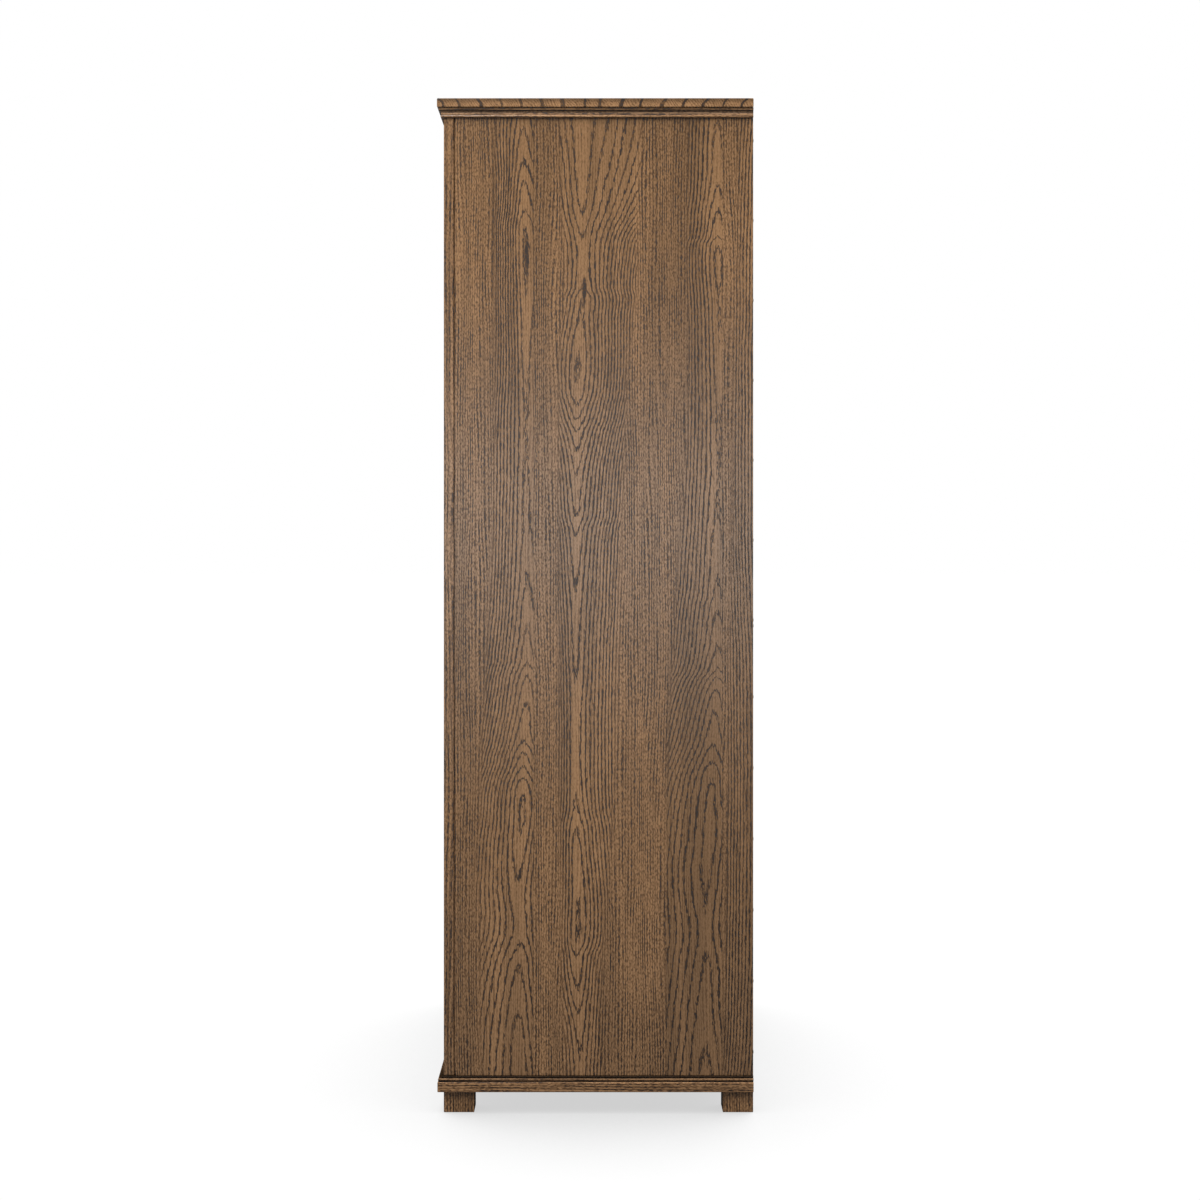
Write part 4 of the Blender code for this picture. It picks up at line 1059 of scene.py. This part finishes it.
def floor_finish():
    """Matt pale paper. To the camera it is plain white but for the soft shadow round what stands on it.

    The shadow is painted into the floor's glow by how open each spot is, and leans away from the left
    side, as under a lamp that stands over that side. Far off on the right the paper glows, seen only in
    the finish's reflections.
    """
    material, tree, shader = new_material("pale studio floor")
    shader.inputs["Base Color"].default_value = linear("#707070")
    shader.inputs["Roughness"].default_value = FLOOR_ROUGHNESS
    lean = add(tree, "CombineXYZ", dict(enumerate(SHADOW_LEAN)))
    reach = {"Distance": SHADOW_REACH, "Normal": lean}
    open_share = add(tree, "AmbientOcclusion", reach, samples=16).outputs["AO"]
    level = add(tree, "MapRange", [open_share, *SHADOW], "SMOOTHSTEP")
    glow = add(tree, "Emission", {"Strength": level})
    path = add(tree, "LightPath").outputs
    place = add(tree, "SeparateXYZ", [add(tree, "TexCoord").outputs["Object"]]).outputs
    lit = add(tree, "MapRange", [place["X"], *FAR_FLOOR], "SMOOTHSTEP")
    far = add(tree, "MULTIPLY", [lit, path["Is Glossy Ray"]])
    shine = add(tree, "Emission", {"Strength": FAR_SHINE})
    matt = add(tree, "MixShader", [far, shader, shine])
    mixed = add(tree, "MixShader", [path["Is Camera Ray"], matt, glow])
    fill(tree, tree.nodes["Material Output"], {"Surface": mixed})
    return material


def make_floor():
    """A level sheet just under the feet, wide enough to reach the horizon."""
    mesh = bpy.data.meshes.new("studio_floor")
    shape = bmesh.new()
    bmesh.ops.create_grid(shape, x_segments=1, y_segments=1, size=FLOOR_SIZE)
    shape.to_mesh(mesh)
    shape.free()
    floor = new_item("studio_floor", mesh)
    floor.location.z = cad_low.z - FLOOR_DROP
    floor.data.materials.append(floor_finish())


def make_world():
    """White to the camera. It lights the object from above, and a low, wide softbox shines on its right."""
    world = bpy.data.worlds.new("white studio")
    world.use_nodes = True
    tree = world.node_tree
    path = add(tree, "LightPath").outputs
    heading = add(tree, "TexCoord").outputs["Generated"]
    rightward, _, height = add(tree, "SeparateXYZ", [heading]).outputs
    above = add(tree, "MapRange", [height, *SKY], "SMOOTHSTEP")
    box = add(tree, "MapRange", [height, *SOFTBOX], "SMOOTHSTEP")
    right = add(tree, "MapRange", [rightward, *SOFTBOX_RIGHT], "SMOOTHSTEP")
    overhead = add(tree, "MapRange", [height, *OVERHEAD], "SMOOTHSTEP")
    band = add(tree, "MULTIPLY_ADD", [box, right, overhead])
    light = add(tree, "Mix", {0: path["Is Glossy Ray"], 2: above, 3: band})
    seen = add(tree, "MAXIMUM", [path["Is Camera Ray"], path["Is Transmission Ray"]])
    level = add(tree, "Mix", {0: seen, 2: light, 3: 1.0})
    fill(tree, tree.nodes["Background"], {"Strength": level, "Color": (1.0, 1.0, 1.0, 1.0)})
    bpy.context.scene.world = world


# Each lamp's name, place, aim, width, watts, and whether the finish mirrors it. The low lamps would
# glare at a slant.
LAMPS = (
    ("key_lamp", (3.6, -1.6, 4.6), (0.4, 0.0, 1.2), 2.6, 200.0, True),
    ("front_lamp", (-1.9, -5.2, 2.8), (0.0, -0.3, 1.2), 3.6, 210.0, False),
    ("left_lamp", (-5.0, 0.8, 2.6), (-0.4, 0.0, 1.2), 2.4, 170.0, False),
    ("back_lamp", (-0.8, 5.0, 2.6), (0.0, 0.3, 1.2), 2.4, 170.0, False),
)


def make_lamps():
    """Large soft lamps, above and on every side."""
    for name, place, aim, width, watts, mirrored in LAMPS:
        light = bpy.data.lights.new(name, "AREA")
        light.shape = "SQUARE"
        light.size = width
        light.energy = watts
        lamp = new_item(name, light)
        lamp.location = place
        lamp.visible_glossy = mirrored
        lamp.rotation_euler = (Vector(aim) - Vector(place)).to_track_quat("-Z", "Y").to_euler()


CAMERA_PLACE = (4.937, 0.006, 1.155)
SENSOR_WIDTH = 36.0
FOCAL_LENGTH = 65.87
SHIFT = (0.005, -0.0534)


def make_camera():
    """Level, square to the right side, and lower than the middle of the picture's frame."""
    lens = bpy.data.cameras.new("studio_camera")
    lens.sensor_width = SENSOR_WIDTH
    lens.lens = FOCAL_LENGTH
    lens.shift_x, lens.shift_y = SHIFT
    camera = new_item("studio_camera", lens)
    camera.location = CAMERA_PLACE
    camera.rotation_euler = (math.pi / 2, 0.0, math.pi / 2)
    bpy.context.scene.camera = camera


make_floor()
make_world()
make_lamps()
make_camera()
bpy.context.scene.view_settings.view_transform = "Standard"
